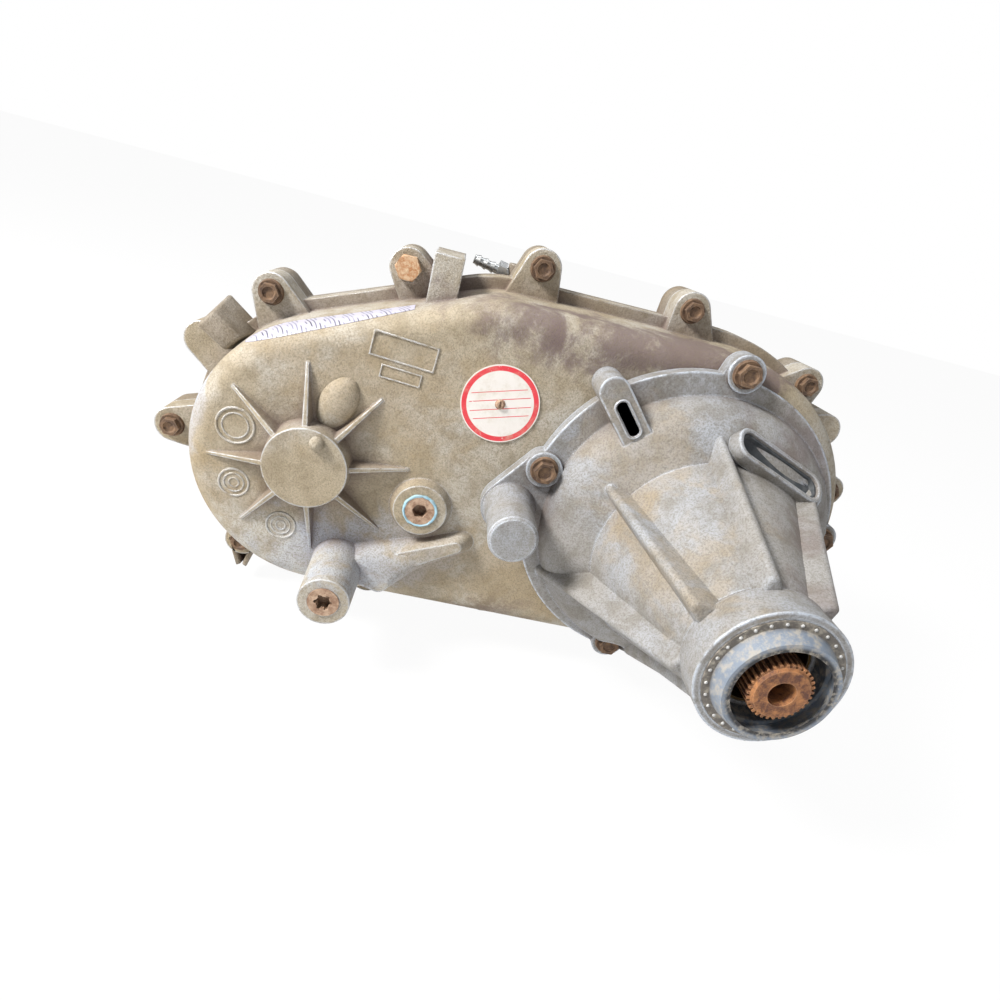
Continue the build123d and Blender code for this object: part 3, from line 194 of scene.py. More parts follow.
def build_cast_skin():
    """Sand-cast grain: a height for the bump, and masks of pin holes, patches and broad clouds."""
    group, entry, leave = start_group(
        "cast_skin", [("Vector", "NodeSocketVector", None), ("Grain", "NodeSocketFloat", 950.0)],
        [("Height", "NodeSocketFloat"), ("Pits", "NodeSocketFloat"), ("Patches", "NodeSocketFloat"),
         ("Clouds", "NodeSocketFloat")])
    vector = entry.outputs["Vector"]
    height = weighted_sum(group, (noise(group, vector, entry.outputs["Grain"], 3.0, 0.7), 0.45),
                          (noise(group, vector, 260.0, 4.0, 0.6), 0.4),
                          (noise(group, vector, 38.0, 3.0, 0.5), 0.3))
    group.links.new(height, leave.inputs["Height"])
    masks = {"Pits": (noise(group, vector, 1250.0, 2.0, 0.8), 0.6, 0.72),
             "Patches": (noise(group, vector, 62.0, 6.0, 0.66, 0.3), 0.42, 0.66),
             "Clouds": (noise(group, vector, 13.0, 5.0, 0.6, 0.4), 0.36, 0.66)}
    for label, (value, low, high) in masks.items():
        group.links.new(spread(group, value, low, high), leave.inputs[label])
    return group


def build_rust():
    """Rust with flakes: a colour, a height and a roughness."""
    group, entry, leave = start_group(
        "rust", [("Vector", "NodeSocketVector", None), ("Size", "NodeSocketFloat", 180.0),
                 ("Dark", "NodeSocketColor", (0.09, 0.035, 0.015, 1)),
                 ("Bright", "NodeSocketColor", (0.36, 0.16, 0.06, 1))],
        [("Color", "NodeSocketColor"), ("Height", "NodeSocketFloat"), ("Roughness", "NodeSocketFloat")])
    vector = entry.outputs["Vector"]
    blotch = noise(group, vector, entry.outputs["Size"], 6.0, 0.7, 0.3)
    fine = noise(group, vector, 1400.0, 3.0, 0.7)
    mixed = weighted_sum(group, (blotch, 0.75), (fine, 0.25))
    bright_share = spread(group, mixed, 0.38, 0.64)
    colour = blend_colours(group, bright_share, entry.outputs["Dark"], entry.outputs["Bright"])
    group.links.new(colour, leave.inputs["Color"])
    group.links.new(mixed, leave.inputs["Height"])
    group.links.new(spread(group, mixed, 0.3, 0.7, 0.62, 0.9), leave.inputs["Roughness"])
    return group


edge_wear_and_shade = build_edge_wear_and_shade()
cast_skin = build_cast_skin()
rust = build_rust()


def place(tree, group, **values):
    """Put a shared group into a material with its own values."""
    node = tree.nodes.new("ShaderNodeGroup")
    node.node_tree = group
    for label, value in values.items():
        socket = node.inputs[label.replace("_", " ")]
        if isinstance(value, tuple):
            socket.default_value = (*value, 1.0)
        elif isinstance(value, (int, float)):
            socket.default_value = value
        else:
            tree.links.new(value, socket)
    return node


def start_material(name, roughness=0.5, metallic=0.0):
    material = bpy.data.materials.new(name)
    material.use_nodes = True
    tree = material.node_tree
    shader = tree.nodes["Principled BSDF"]
    shader.inputs["Roughness"].default_value = roughness
    shader.inputs["Metallic"].default_value = metallic
    coordinates = tree.nodes.new("ShaderNodeTexCoord").outputs["Object"]
    return material, tree, shader, coordinates


def add_bump(tree, shader, height, distance, strength=1.0, edge_radius=0.0):
    """Relief from a height; with an edge radius, sharp edges also read as rounded."""
    bump = tree.nodes.new("ShaderNodeBump")
    if edge_radius:
        rounded = tree.nodes.new("ShaderNodeBevel")
        rounded.samples = 8
        rounded.inputs["Radius"].default_value = edge_radius
        tree.links.new(rounded.outputs["Normal"], bump.inputs["Normal"])
    bump.inputs["Distance"].default_value = distance
    bump.inputs["Strength"].default_value = strength
    tree.links.new(height, bump.inputs["Height"])
    tree.links.new(bump.outputs["Normal"], shader.inputs["Normal"])


def blot_mask(tree, coordinates, middle, reach, stretch):
    """Soft ragged blot round a point, longer along some directions."""
    moved = remap(tree, coordinates, "TEXTURE", Location=middle, Scale=stretch)
    raggedness = 0.55 * reach
    ragged = spread(tree, noise(tree, coordinates, 34.0, 6.0, 0.68, 0.4), 0.25, 0.75, -raggedness, raggedness)
    far = calculate(tree, "ADD", measure(tree, "LENGTH", moved), ragged, clamped=False)
    return spread(tree, far, reach, 0.35 * reach)


def cast_aluminium(name, pale, tan, soil_and_shade, burnish_and_highlight, cloud_share=0.75, edge_share=0.85, stains_and_painted_light=(),
                   edge_width=0.0022):
    """Weathered casting: pale oxide, tan dust in clouds, soil and painted shade in the hollows, burnished
    edges with a painted bluish highlight.
    """
    material, tree, shader, coordinates = start_material(name, 0.7, 0.25)
    skin = place(tree, cast_skin, Vector=coordinates)
    wear_and_shade = place(tree, edge_wear_and_shade, Edge_Width=edge_width, Hollow_Reach=0.032)
    colour = lay_over(tree, pale, tan, skin.outputs["Clouds"], cloud_share)
    colour = lay_over(tree, colour, darker(tan, 0.66), skin.outputs["Patches"], 0.6)
    for tint, share, middle, reach, stretch in stains_and_painted_light:
        colour = lay_over(tree, colour, tint, blot_mask(tree, coordinates, middle, reach, stretch), share)
    speckle = spread(tree, noise(tree, coordinates, 820.0, 3.0, 0.8), 0.46, 0.6, 0.0, 0.5)
    colour = blend_colours(tree, speckle, colour, darker(tan, 0.5))
    # Soil and painted shade: the soil colour is laid where the occlusion mask finds hollows.
    colour = lay_over(tree, colour, soil_and_shade, wear_and_shade.outputs["Dirt And Shade"], 0.8)
    broken = spread(tree, noise(tree, coordinates, 150.0, 4.0, 0.7), 0.3, 0.55)
    edges = calculate(tree, "MULTIPLY", wear_and_shade.outputs["Edges"], broken)
    edges = calculate(tree, "MULTIPLY", edges, edge_share)
    # Edge colour: burnished metal, with a painted sky highlight in its bluish tint.
    colour = blend_colours(tree, edges, colour, burnish_and_highlight)
    colour = lay_over(tree, colour, darker(soil_and_shade, 0.45), skin.outputs["Pits"], 0.5)
    tree.links.new(colour, shader.inputs["Base Color"])
    tree.links.new(spread(tree, edges, 0.0, 1.0, 0.72, 0.42), shader.inputs["Roughness"])
    tree.links.new(spread(tree, edges, 0.0, 1.0, 0.2, 0.75), shader.inputs["Metallic"])
    add_bump(tree, shader, skin.outputs["Height"], 0.0011, edge_radius=0.0018)
    return material


def rusty_steel(name, dark, bright, size, metallic=0.1, edge=(0.3, 0.22, 0.16)):
    """Steel under flaking rust, paler on its edges, with painted shade darkening its hollows."""
    material, tree, shader, coordinates = start_material(name, 0.75, metallic)
    coat = place(tree, rust, Vector=coordinates, Size=size, Dark=dark, Bright=bright)
    wear_and_shade = place(tree, edge_wear_and_shade, Edge_Width=0.0008, Hollow_Reach=0.006)
    colour = lay_over(tree, coat.outputs["Color"], edge, wear_and_shade.outputs["Edges"], 0.5)
    # Painted shade: the rust colour is darkened where the occlusion mask finds hollows.
    colour = lay_over(tree, colour, darker(dark, 0.4), wear_and_shade.outputs["Dirt And Shade"], 0.6)
    tree.links.new(colour, shader.inputs["Base Color"])
    tree.links.new(coat.outputs["Roughness"], shader.inputs["Roughness"])
    add_bump(tree, shader, coat.outputs["Height"], 0.0004)
    return material


def machined_steel(name, colour, roughness, scratches=500.0):
    """Bare or plated metal with faint stains, fine scratches and bright edges."""
    material, tree, shader, coordinates = start_material(name, roughness, 0.95)
    stain = noise(tree, coordinates, 70.0, 5.0, 0.6)
    tone = blend_colours(tree, spread(tree, stain, 0.35, 0.7), colour, darker(colour, 0.6))
    wear_and_shade = place(tree, edge_wear_and_shade, Edge_Width=0.0006, Hollow_Reach=0.006)
    tone = lay_over(tree, tone, (0.72, 0.71, 0.69), wear_and_shade.outputs["Edges"], 0.5)
    tree.links.new(tone, shader.inputs["Base Color"])
    dullness = spread(tree, stain, 0.3, 0.75, roughness - 0.08, roughness + 0.15)
    tree.links.new(dullness, shader.inputs["Roughness"])
    add_bump(tree, shader, noise(tree, coordinates, scratches, 2.0, 0.6), 0.0001, 0.6)
    return material


def soft_rubber(name, colour, dust, dust_share):
    """Matt rubber or sealant under a broken layer of dust."""
    material, tree, shader, coordinates = start_material(name, 0.62)
    layer = spread(tree, noise(tree, coordinates, 120.0, 6.0, 0.7), 0.4, 0.68)
    tree.links.new(lay_over(tree, colour, dust, layer, dust_share), shader.inputs["Base Color"])
    tree.links.new(spread(tree, layer, 0.0, 1.0, 0.5, 0.85), shader.inputs["Roughness"])
    add_bump(tree, shader, noise(tree, coordinates, 700.0, 3.0, 0.6), 0.0002)
    return material


dark_soil_and_shade = (0.13, 0.085, 0.075)
tan_dust = (0.30, 0.225, 0.125)
violet_painted_shade = (0.13, 0.09, 0.09)
blue_oxide_and_highlight = (0.42, 0.47, 0.56)
film_white = (0.40, 0.39, 0.47)

# Stains seen in the photo, with painted highlights and painted shade among them: colour, share, middle,
# reach, and stretch along X, Y and Z.
cover_stains_and_painted_light = [
    # Painted highlight: a bright bluish band down the rounded left rim, on the side the light falls on.
    (blue_oxide_and_highlight, 0.85, (-0.342, -0.160, 0.010), 0.020, (0.8, 1.0, 3.2)),
    # Painted shade: dark violet bands along the upper edge of the cover, where it turns away from the light.
    (violet_painted_shade, 0.85, (-0.055, -0.165, 0.118), 0.040, (3.2, 1.0, 0.75)),
    (violet_painted_shade, 0.55, (-0.150, -0.160, 0.118), 0.030, (2.4, 1.0, 0.6)),
    (tan_dust, 0.55, (-0.335, -0.176, -0.045), 0.055, (0.8, 1.0, 1.2)),
    (tan_dust, 0.45, (-0.225, -0.176, 0.055), 0.060, (1.5, 1.0, 0.8)),
    (blue_oxide_and_highlight, 0.45, (-0.250, -0.176, -0.070), 0.050, (1.3, 1.0, 0.6)),
    (blue_oxide_and_highlight, 0.55, (-0.215, -0.190, -0.055), 0.045, (1.6, 1.0, 0.7)),
    (tan_dust, 0.5, (-0.110, -0.176, -0.055), 0.070, (1.4, 1.0, 0.7)),
    (dark_soil_and_shade, 0.6, (-0.115, -0.165, -0.088), 0.020, (2.0, 1.0, 0.8)),
]
tail_stains_and_shade = [
    (tan_dust, 0.35, (-0.060, -0.200, 0.060), 0.050, (1.0, 1.0, 1.0)),
    # Painted shade: dark patch along the right side of the tail, away from the light.
    (dark_soil_and_shade, 0.45, (0.045, -0.235, 0.030), 0.040, (1.0, 1.4, 1.0)),
    (dark_soil_and_shade, 0.4, (0.012, -0.296, 0.030), 0.022, (1.4, 1.0, 1.0)),
    (tan_dust, 0.4, (-0.030, -0.250, 0.020), 0.045, (1.0, 1.6, 1.0)),
    # Painted shade: dark violet patch on the right by the flange, away from the light.
    (violet_painted_shade, 0.5, (0.040, -0.185, 0.085), 0.035, (1.6, 1.0, 1.0)),
]
# The bluish burnish colours of the cover and the tail are partly a painted highlight on their edges.
cover_cast = cast_aluminium(
    "cast aluminium, dusty cover", pale=(0.42, 0.395, 0.35), tan=(0.33, 0.265, 0.165), soil_and_shade=dark_soil_and_shade,
    burnish_and_highlight=(0.68, 0.71, 0.76), stains_and_painted_light=cover_stains_and_painted_light)
tail_cast = cast_aluminium(
    "cast aluminium, burnished and highlit tail", pale=(0.31, 0.325, 0.35), tan=(0.25, 0.22, 0.175),
    soil_and_shade=(0.11, 0.085, 0.075), burnish_and_highlight=(0.74, 0.81, 0.92), cloud_share=0.5, edge_share=0.8,
    stains_and_painted_light=tail_stains_and_shade, edge_width=0.0032)
front_cast = cast_aluminium(
    "cast aluminium, front half", pale=(0.29, 0.26, 0.22), tan=(0.22, 0.17, 0.11), soil_and_shade=(0.11, 0.07, 0.055),
    burnish_and_highlight=(0.60, 0.60, 0.60))
clean_cast = cast_aluminium(
    "cast aluminium, inside", pale=(0.52, 0.52, 0.51), tan=(0.46, 0.45, 0.42), soil_and_shade=(0.2, 0.18, 0.16),
    burnish_and_highlight=(0.66, 0.67, 0.68), cloud_share=0.5, edge_share=0.6)
bolt_rust = rusty_steel("bolt steel, brown rust", (0.06, 0.033, 0.02), (0.19, 0.115, 0.065), 220.0)
orange_rust = rusty_steel("bolt steel, orange rust on white", (0.33, 0.14, 0.05), (0.55, 0.42, 0.28), 300.0)
plug_rust = rusty_steel("plug steel, pale rust", (0.20, 0.11, 0.065), (0.44, 0.32, 0.23), 260.0)
shaft_rust = rusty_steel("shaft steel, red rust", (0.08, 0.028, 0.016), (0.36, 0.16, 0.06), 170.0,
                         edge=(0.5, 0.28, 0.14))
yoke_iron = rusty_steel("forged steel, dark", (0.06, 0.045, 0.035), (0.17, 0.12, 0.085), 130.0,
                        metallic=0.3, edge=(0.34, 0.31, 0.28))
gear_steel = machined_steel("gear steel, oiled", (0.5, 0.49, 0.47), 0.32)
bearing_steel = machined_steel("bearing steel, ground", (0.62, 0.62, 0.63), 0.2, scratches=900.0)
chain_steel = machined_steel("chain steel, blued", (0.26, 0.26, 0.28), 0.35)
zinc_steel = machined_steel("zinc plated steel", (0.55, 0.56, 0.56), 0.3)
bronze = machined_steel("bushing bronze", (0.55, 0.36, 0.16), 0.3)
face_rubber = soft_rubber("seal face, dusty", (0.05, 0.045, 0.042), (0.30, 0.27, 0.22), 0.75)
thread_sealant = soft_rubber("thread sealant, pale blue", (0.24, 0.42, 0.52), (0.45, 0.42, 0.36), 0.5)
plug_rubber = soft_rubber("plug rubber", (0.03, 0.035, 0.04), (0.16, 0.16, 0.16), 0.4)


# Heights of the thin rules on the tag, above and below its middle.
rule_heights = (-0.0085, -0.0030, 0.0030, 0.0085)


def tag_print():
    """White plate with a plain red rim and thin red rules, faded and scuffed."""
    material, tree, shader, coordinates = start_material("tag print", 0.42, 0.15)
    low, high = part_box("id_tag")
    middle = [(a + b) / 2 for a, b in zip(low, high)]
    radius = (high[0] - low[0]) / 2
    centred = remap(tree, coordinates, Location=(-middle[0], 0.0, -middle[2]))
    distance = axis_distance(tree, centred)
    rim = calculate(tree, "SUBTRACT", spread(tree, distance, radius * 0.84, radius * 0.855),
                    spread(tree, distance, radius * 0.965, radius * 0.98))
    slanted = measure(tree, "DOT_PRODUCT", centred, (-0.28, 0.0, 0.96))
    rules = None
    for height in rule_heights:
        away = calculate(tree, "ABSOLUTE", calculate(tree, "SUBTRACT", slanted, height, clamped=False))
        line = spread(tree, away, 0.00032, 0.0002)
        rules = line if rules is None else calculate(tree, "ADD", rules, line)
    rules = calculate(tree, "MULTIPLY", rules, spread(tree, distance, radius * 0.79, radius * 0.77))
    scuff = spread(tree, noise(tree, coordinates, 420.0, 5.0, 0.7), 0.62, 0.7)
    red = calculate(tree, "SUBTRACT", calculate(tree, "ADD", rim, rules), scuff)
    colour = blend_colours(tree, red, (0.66, 0.63, 0.60), (0.60, 0.035, 0.05))
    dust = spread(tree, noise(tree, coordinates, 90.0, 6.0, 0.7), 0.45, 0.75, 0.0, 0.5)
    colour = blend_colours(tree, dust, colour, (0.45, 0.38, 0.28))
    tree.links.new(colour, shader.inputs["Base Color"])
    add_bump(tree, shader, noise(tree, coordinates, 600.0, 3.0, 0.6), 0.00012)
    return material


def label_print():
    """Lilac-white film with faint plain dashes."""
    material, tree, shader, coordinates = start_material("label film", 0.38)
    bricks = tree.nodes.new("ShaderNodeTexBrick")
    dashes = {"Scale": 1.0, "Brick Width": 0.0022, "Row Height": 0.0042, "Mortar Size": 0.0008,
              "Color1": (0.06, 0.06, 0.08, 1), "Color2": (0.20, 0.20, 0.26, 1), "Mortar": (*film_white, 1)}
    for label, value in dashes.items():
        bricks.inputs[label].default_value = value
    turned = remap(tree, coordinates, Rotation=(math.radians(90), math.radians(25), 0))
    tree.links.new(turned, bricks.inputs["Vector"])
    faded = spread(tree, noise(tree, coordinates, 55.0, 4.0, 0.6), 0.5, 0.72)
    colour = blend_colours(tree, faded, bricks.outputs["Color"], film_white)
    dust = spread(tree, noise(tree, coordinates, 150.0, 5.0, 0.7), 0.5, 0.8, 0.0, 0.35)
    colour = blend_colours(tree, dust, colour, (0.5, 0.45, 0.38))
    tree.links.new(colour, shader.inputs["Base Color"])
    return material


def tail_seal():
    """Dusty dark face ring outside, paler blue-grey cone inside."""
    material, tree, shader, coordinates = start_material("tail seal", 0.6)
    radius = axis_distance(tree, coordinates)
    outside = spread(tree, radius, 0.0312, 0.0324)
    colour = blend_colours(tree, outside, (0.15, 0.18, 0.225), (0.10, 0.088, 0.075))
    inside = spread(tree, radius, 0.0285, 0.0262)
    colour = blend_colours(tree, inside, colour, (0.012, 0.012, 0.014))
    dust = spread(tree, noise(tree, coordinates, 240.0, 6.0, 0.75), 0.44, 0.62, 0.0, 0.7)
    colour = blend_colours(tree, dust, colour, (0.34, 0.31, 0.26))
    tree.links.new(colour, shader.inputs["Base Color"])
    tree.links.new(spread(tree, dust, 0.0, 0.7, 0.45, 0.85), shader.inputs["Roughness"])
    add_bump(tree, shader, noise(tree, coordinates, 700.0, 3.0, 0.6), 0.0003)
    return material


finishes = {
    cover_cast: ["rear_case"],
    front_cast: ["front_case"],
    tail_cast: ["extension_housing"],
    clean_cast: ["bearing_retainer", "pump_housing", "mode_fork", "range_fork"],
    bolt_rust: ["case_bolts", "extension_bolts", "retainer_bolts", "lever_nut", "yoke_nut"],
    orange_rust: ["hex_bolt"],
    plug_rust: ["fill_plug", "drain_plug", "tag_screw"],
    shaft_rust: ["mainshaft"],
    gear_steel: ["input_gear", "annulus_gear", "planet_pins", "planet_carrier", "shaft_rings", "range_sleeve",
                 "drive_sprocket", "mode_hub", "mode_sleeve", "front_output_shaft", "driven_sprocket",
                 "pump_inner_rotor", "pump_outer_rotor", "shift_rail", "shift_sector", "adapter_studs",
                 "detent_plunger", "detent_spring", "detent_plug", "dowel_pins",
                 "planet_gear_1", "planet_gear_2", "planet_gear_3", "planet_gear_4"],
    bearing_steel: ["input_bearing", "rear_bearing", "front_output_bearing", "needle_bearing",
                    "pilot_bearing"],
    chain_steel: ["drive_chain"],
    yoke_iron: ["front_yoke", "shift_lever"],
    zinc_steel: ["breather_fitting", "pickup_tube", "oil_screen"],
    bronze: ["output_bushing"],
    tail_seal(): ["output_seal"],
    face_rubber: ["input_seal", "front_output_seal"],
    plug_rubber: ["slot_plug"],
    tag_print(): ["id_tag"],
    label_print(): ["strip_label"],
}
for material, names in finishes.items():
    for name in names:
        mesh = nodes[name].data
        mesh.materials.clear()
        mesh.materials.append(material)


# Small castings and traces that the cover and the tail carry. First the stations of the faces they stand on.
cover_face = -0.176
star_face = -0.1902
end_face = -0.3255
plug_face = -0.1826

# Plain rings in place of the foundry marks: place across and up, then radius and line width of each ring.
clock_rings = [(0.0096, 0.0008), (0.0064, 0.0006), (0.0032, 0.0006)]
ring_marks = [
    (-0.308, -0.026, clock_rings),
    (-0.275, -0.051, clock_rings),
    (-0.310, 0.0136, [(0.0118, 0.0009), (0.0083, 0.0006)]),
]
# Open frames in place of the cast number and word: place across and up, width, height, line width.
frame_marks = [(-0.2145, 0.0845, 0.041, 0.016, 0.0011), (-0.2140, 0.0690, 0.026, 0.0085, 0.0009)]

# Drafted ribs of the tail: turn round the axis, then station, crest radius and half root width at both ends.
tail_ribs = [
    (153.0, (0.186, 0.0930, 0.026), (0.307, 0.0500, 0.010)),
    (101.5, (0.193, 0.0930, 0.026), (0.306, 0.0470, 0.010)),
    (50.0, (0.200, 0.0880, 0.024), (0.306, 0.0470, 0.010)),
    (203.0, (0.182, 0.1085, 0.026), (0.306, 0.0450, 0.010)),
    (255.0, (0.200, 0.0850, 0.020), (0.305, 0.0425, 0.007)),
    (306.0, (0.200, 0.0850, 0.020), (0.305, 0.0425, 0.007)),
    (358.0, (0.200, 0.0850, 0.020), (0.305, 0.0425, 0.007)),
]
rib_foot_radius = 0.030
rib_crest_half_width = 0.0022

slot_middle = (0.0222, -0.2120, 0.0748)
slot_along = (0.956, 0.0, -0.293)
slot_outward = (0.29, -0.64, 0.705)
bar_turn = math.radians(132.5)
bar_radius = 0.1105
bar_station = -0.2032

# Planes that bound the label film: a point, a direction, and whether what lies beyond the plane is cut off.
film_cuts = [
    ((-0.309, 0, 0.062), (0.80, 0, 0.60), False),
    ((-0.212, 0, 0.105), (0.913, 0, 0.408), True),
    ((0, -0.153, 0), (0, 1, 0), True),
    ((-0.0760, 0, 0.1700), (-0.408, 0, 0.913), False),
]
film_back = -0.1535
film_lift = 0.0003
film_thickness = 0.0002

dot_count = 28
dot_circle = 0.0340
dot_radius = 0.0010
dot_height = 0.0007
fill_plug_place = (-0.185, -0.0165)

select_modes = {"vertices": "VERT", "edges": "EDGE", "polygons": "FACE"}


def select_none():
    for item in bpy.context.selected_objects:
        item.select_set(False)


def fix_in_place():
    bpy.ops.object.transform_apply(location=True, rotation=True, scale=True)


def edit_all():
    """Go to edit mode with all of the active piece selected."""
    bpy.ops.object.mode_set(mode="EDIT")
    bpy.ops.mesh.select_all(action="SELECT")


def edit_some(kind, wanted):
    """Go to edit mode with only the wanted vertices, edges or polygons of the active piece selected."""
    bpy.ops.object.mode_set(mode="EDIT")
    bpy.ops.mesh.select_mode(type=select_modes[kind])
    bpy.ops.mesh.select_all(action="DESELECT")
    leave_edit()
    for item in getattr(bpy.context.active_object.data, kind):
        item.select = wanted(item)
    bpy.ops.object.mode_set(mode="EDIT")


def leave_edit():
    bpy.ops.object.mode_set(mode="OBJECT")


def cut_behind(y):
    """Cut the active piece off at a station and close the cut."""
    edit_all()
    bpy.ops.mesh.bisect(plane_co=(0, y, 0), plane_no=(0, 1, 0), use_fill=True, clear_outer=True)
    leave_edit()


def apply_modifier(kind, **settings):
    """Give the active piece a modifier and apply it at once."""
    modifier = bpy.context.active_object.modifiers.new(kind.lower(), kind)
    for label, value in settings.items():
        setattr(modifier, label, value)
    bpy.ops.object.modifier_apply(modifier=modifier.name)


def apply_rounding(width, segments=2):
    apply_modifier("BEVEL", width=width, segments=segments, limit_method="ANGLE",
                   angle_limit=math.radians(40))


def join_as(name, pieces, material, body):
    """Join finished pieces into one, name it and let it ride on its body."""
    select_none()
    for piece in pieces:
        piece.select_set(True)
    bpy.context.view_layer.objects.active = pieces[0]
    if len(pieces) > 1:
        bpy.ops.object.join()
    whole = bpy.context.active_object
    whole.name = name
    whole.data.name = name
    whole.data.materials.clear()
    whole.data.materials.append(material)
    bpy.ops.object.shade_smooth_by_angle(angle=math.radians(42))
    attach(whole, body)
    return whole


def oval_dome(x, y, z, half_length, half_width, height, turn, cut):
    """Part of a squashed ball that swells rearwards from the station of the cut."""
    select_none()
    bpy.ops.mesh.primitive_uv_sphere_add(segments=40, ring_count=20, radius=1.0, location=(x, y, z),
                                         rotation=(0, -math.radians(turn), 0))
    bpy.context.active_object.scale = (half_length, height, half_width)
    fix_in_place()
    cut_behind(cut)
    return bpy.context.active_object


def raised_ring(x, z, radius, line):
    """Low ring that stands half out of the cover, flattened on top."""
    select_none()
    bpy.ops.mesh.primitive_torus_add(major_radius=radius, minor_radius=line, major_segments=48,
                                     minor_segments=10, location=(x, cover_face, z),
                                     rotation=(math.radians(90), 0, 0))
    bpy.context.active_object.scale = (1.0, 1.0, 0.8)
    fix_in_place()
    cut_behind(cover_face + 0.0004)
    return bpy.context.active_object


def raised_frame(x, z, width, height, line):
    """Low frame with its middle left open."""
    select_none()
    bpy.ops.mesh.primitive_plane_add(size=1.0, location=(x, cover_face, z),
                                     rotation=(math.radians(90), math.radians(4), 0))
    frame_piece = bpy.context.active_object
    frame_piece.scale = (width, height, 1.0)
    fix_in_place()
    edit_all()
    bpy.ops.mesh.inset(thickness=line)
    bpy.ops.mesh.delete(type="FACE")
    leave_edit()
    apply_modifier("SOLIDIFY", thickness=0.0014, offset=0.0)
    apply_rounding(0.0003)
    return frame_piece


def drafted_block(middle, size, turn, tip_scale, width):
    """Block turned in the cover's plane; its rear end is drawn in, and its edges are rounded."""
    select_none()
    bpy.ops.mesh.primitive_cube_add(size=1.0, location=middle, rotation=(0, -math.radians(turn), 0))
    block = bpy.context.active_object
    block.scale = size
    bpy.ops.object.transform_apply(location=False, rotation=False, scale=True)
    edit_some("vertices", lambda corner: corner.co.y < 0)
    bpy.ops.transform.resize(value=(tip_scale[0], 1.0, tip_scale[1]), center_override=tuple(middle))
    leave_edit()
    fix_in_place()
    apply_rounding(width, 3)
    return block


def tail_rib(turn, front, rear):
    """Wedge with broad drafted flanks and a narrow rounded crest that runs down to the end ring."""
    select_none()
    bpy.ops.mesh.primitive_cube_add(size=2.0, location=(0, 0, 0))
    rib = bpy.context.active_object
    for corner in rib.data.vertices:
        station, crest, root = rear if corner.co.y < 0 else front
        outer = corner.co.x > 0
        radius = crest if outer else rib_foot_radius
        half_width = rib_crest_half_width if outer else root
        corner.co = (radius, -station, half_width if corner.co.z > 0 else -half_width)
    bpy.ops.transform.rotate(value=math.radians(turn), orient_axis="Y", center_override=(0, 0, 0))
    fix_in_place()
    apply_rounding(0.0020, 3)
    edit_all()
    bpy.ops.mesh.normals_make_consistent(inside=False)
    leave_edit()
    return rib


def lie_on(piece, middle, along, outward):
    """Turn a piece so that its X runs along and its Y points inwards, at a place on the surface."""
    inward = -Vector(outward).normalized()
    side = (Vector(along) - inward * Vector(along).dot(inward)).normalized()
    third = side.cross(inward)
    piece.matrix_world = Matrix.Translation(middle) @ Matrix((side, inward, third)).transposed().to_4x4()
    fix_in_place()


def long_hole(size, rim):
    """Oblong block with rounded ends and a sunk middle, lying along X and facing -Y."""
    select_none()
    bpy.ops.mesh.primitive_cube_add(size=1.0)
    block = bpy.context.active_object
    block.scale = size
    fix_in_place()

    def runs_through(edge):
        first, second = (block.data.vertices[i].co for i in edge.vertices)
        return abs(first.y - second.y) > 0.5 * size[1]

    edit_some("edges", runs_through)
    bpy.ops.mesh.bevel(offset=0.46 * size[2], segments=8)
    edit_some("polygons", lambda side: side.normal.y < -0.9)
    bpy.ops.mesh.inset(thickness=rim)
    bpy.ops.mesh.extrude_region_move(TRANSFORM_OT_translate={"value": (0, 0.6 * size[1], 0)})
    leave_edit()
    apply_rounding(0.0008)
    return block


def edge_film():
    """Film that follows the rounded upper edge of the cover, cut from a copy of the cover's skin."""
    select_none()
    film = nodes["rear_case"].copy()
    film.data = nodes["rear_case"].data.copy()
    bpy.context.scene.collection.objects.link(film)
    film.parent = None
    film.matrix_world = nodes["rear_case"].matrix_world.copy()
    film.select_set(True)
    bpy.context.view_layer.objects.active = film
    edit_all()
    bpy.ops.mesh.remove_doubles(threshold=0.00001)
    for point, direction, beyond in film_cuts:
        bpy.ops.mesh.select_all(action="SELECT")
        bpy.ops.mesh.bisect(plane_co=point, plane_no=direction, clear_outer=beyond, clear_inner=not beyond)
    facing = Vector((-0.3, -0.5, 0.8))
    edit_some("polygons", lambda side: side.normal.dot(facing) < 0.2 or side.center.y > film_back)
    bpy.ops.mesh.delete(type="FACE")
    bpy.ops.mesh.select_all(action="SELECT")
    bpy.ops.transform.shrink_fatten(value=film_lift)
    leave_edit()
    apply_modifier("SOLIDIFY", thickness=film_thickness, offset=-1.0)
    return film


def seal_dots():
    """Ring of small studs moulded in the face of the tail seal."""
    angles = [2 * math.pi * k / dot_count for k in range(dot_count)]
    return [oval_dome(x=dot_circle * math.cos(angle), y=end_face - dot_height, z=dot_circle * math.sin(angle),
                      half_length=dot_radius, half_width=dot_radius, height=dot_height, turn=0,
                      cut=end_face - 0.0004) for angle in angles]


def sealant_trace():
    """Ragged bead of thread sealant round the fill plug."""
    x, z = fill_plug_place
    select_none()
    bpy.ops.mesh.primitive_torus_add(major_radius=0.0108, minor_radius=0.0011, major_segments=56,
                                     minor_segments=8, location=(x, plug_face, z),
                                     rotation=(math.radians(90), 0, 0))
    fix_in_place()
    bead = bpy.context.active_object
    edit_all()
    bpy.ops.transform.vertex_random(offset=0.0007, seed=4)
    bpy.ops.mesh.vertices_smooth(factor=0.4)
    leave_edit()
    return bead


hump = oval_dome(x=-0.249, y=cover_face + 0.001, z=0.043, half_length=0.0185, half_width=0.012,
                 height=0.0068, turn=68, cut=cover_face + 0.002)
join_as("cover_hump", [hump], cover_cast, "case")
nub = oval_dome(x=-0.2562, y=star_face, z=0.0187, half_length=0.0048, half_width=0.0048,
                height=0.0052, turn=0, cut=star_face + 0.002)
join_as("star_nub", [nub], cover_cast, "case")

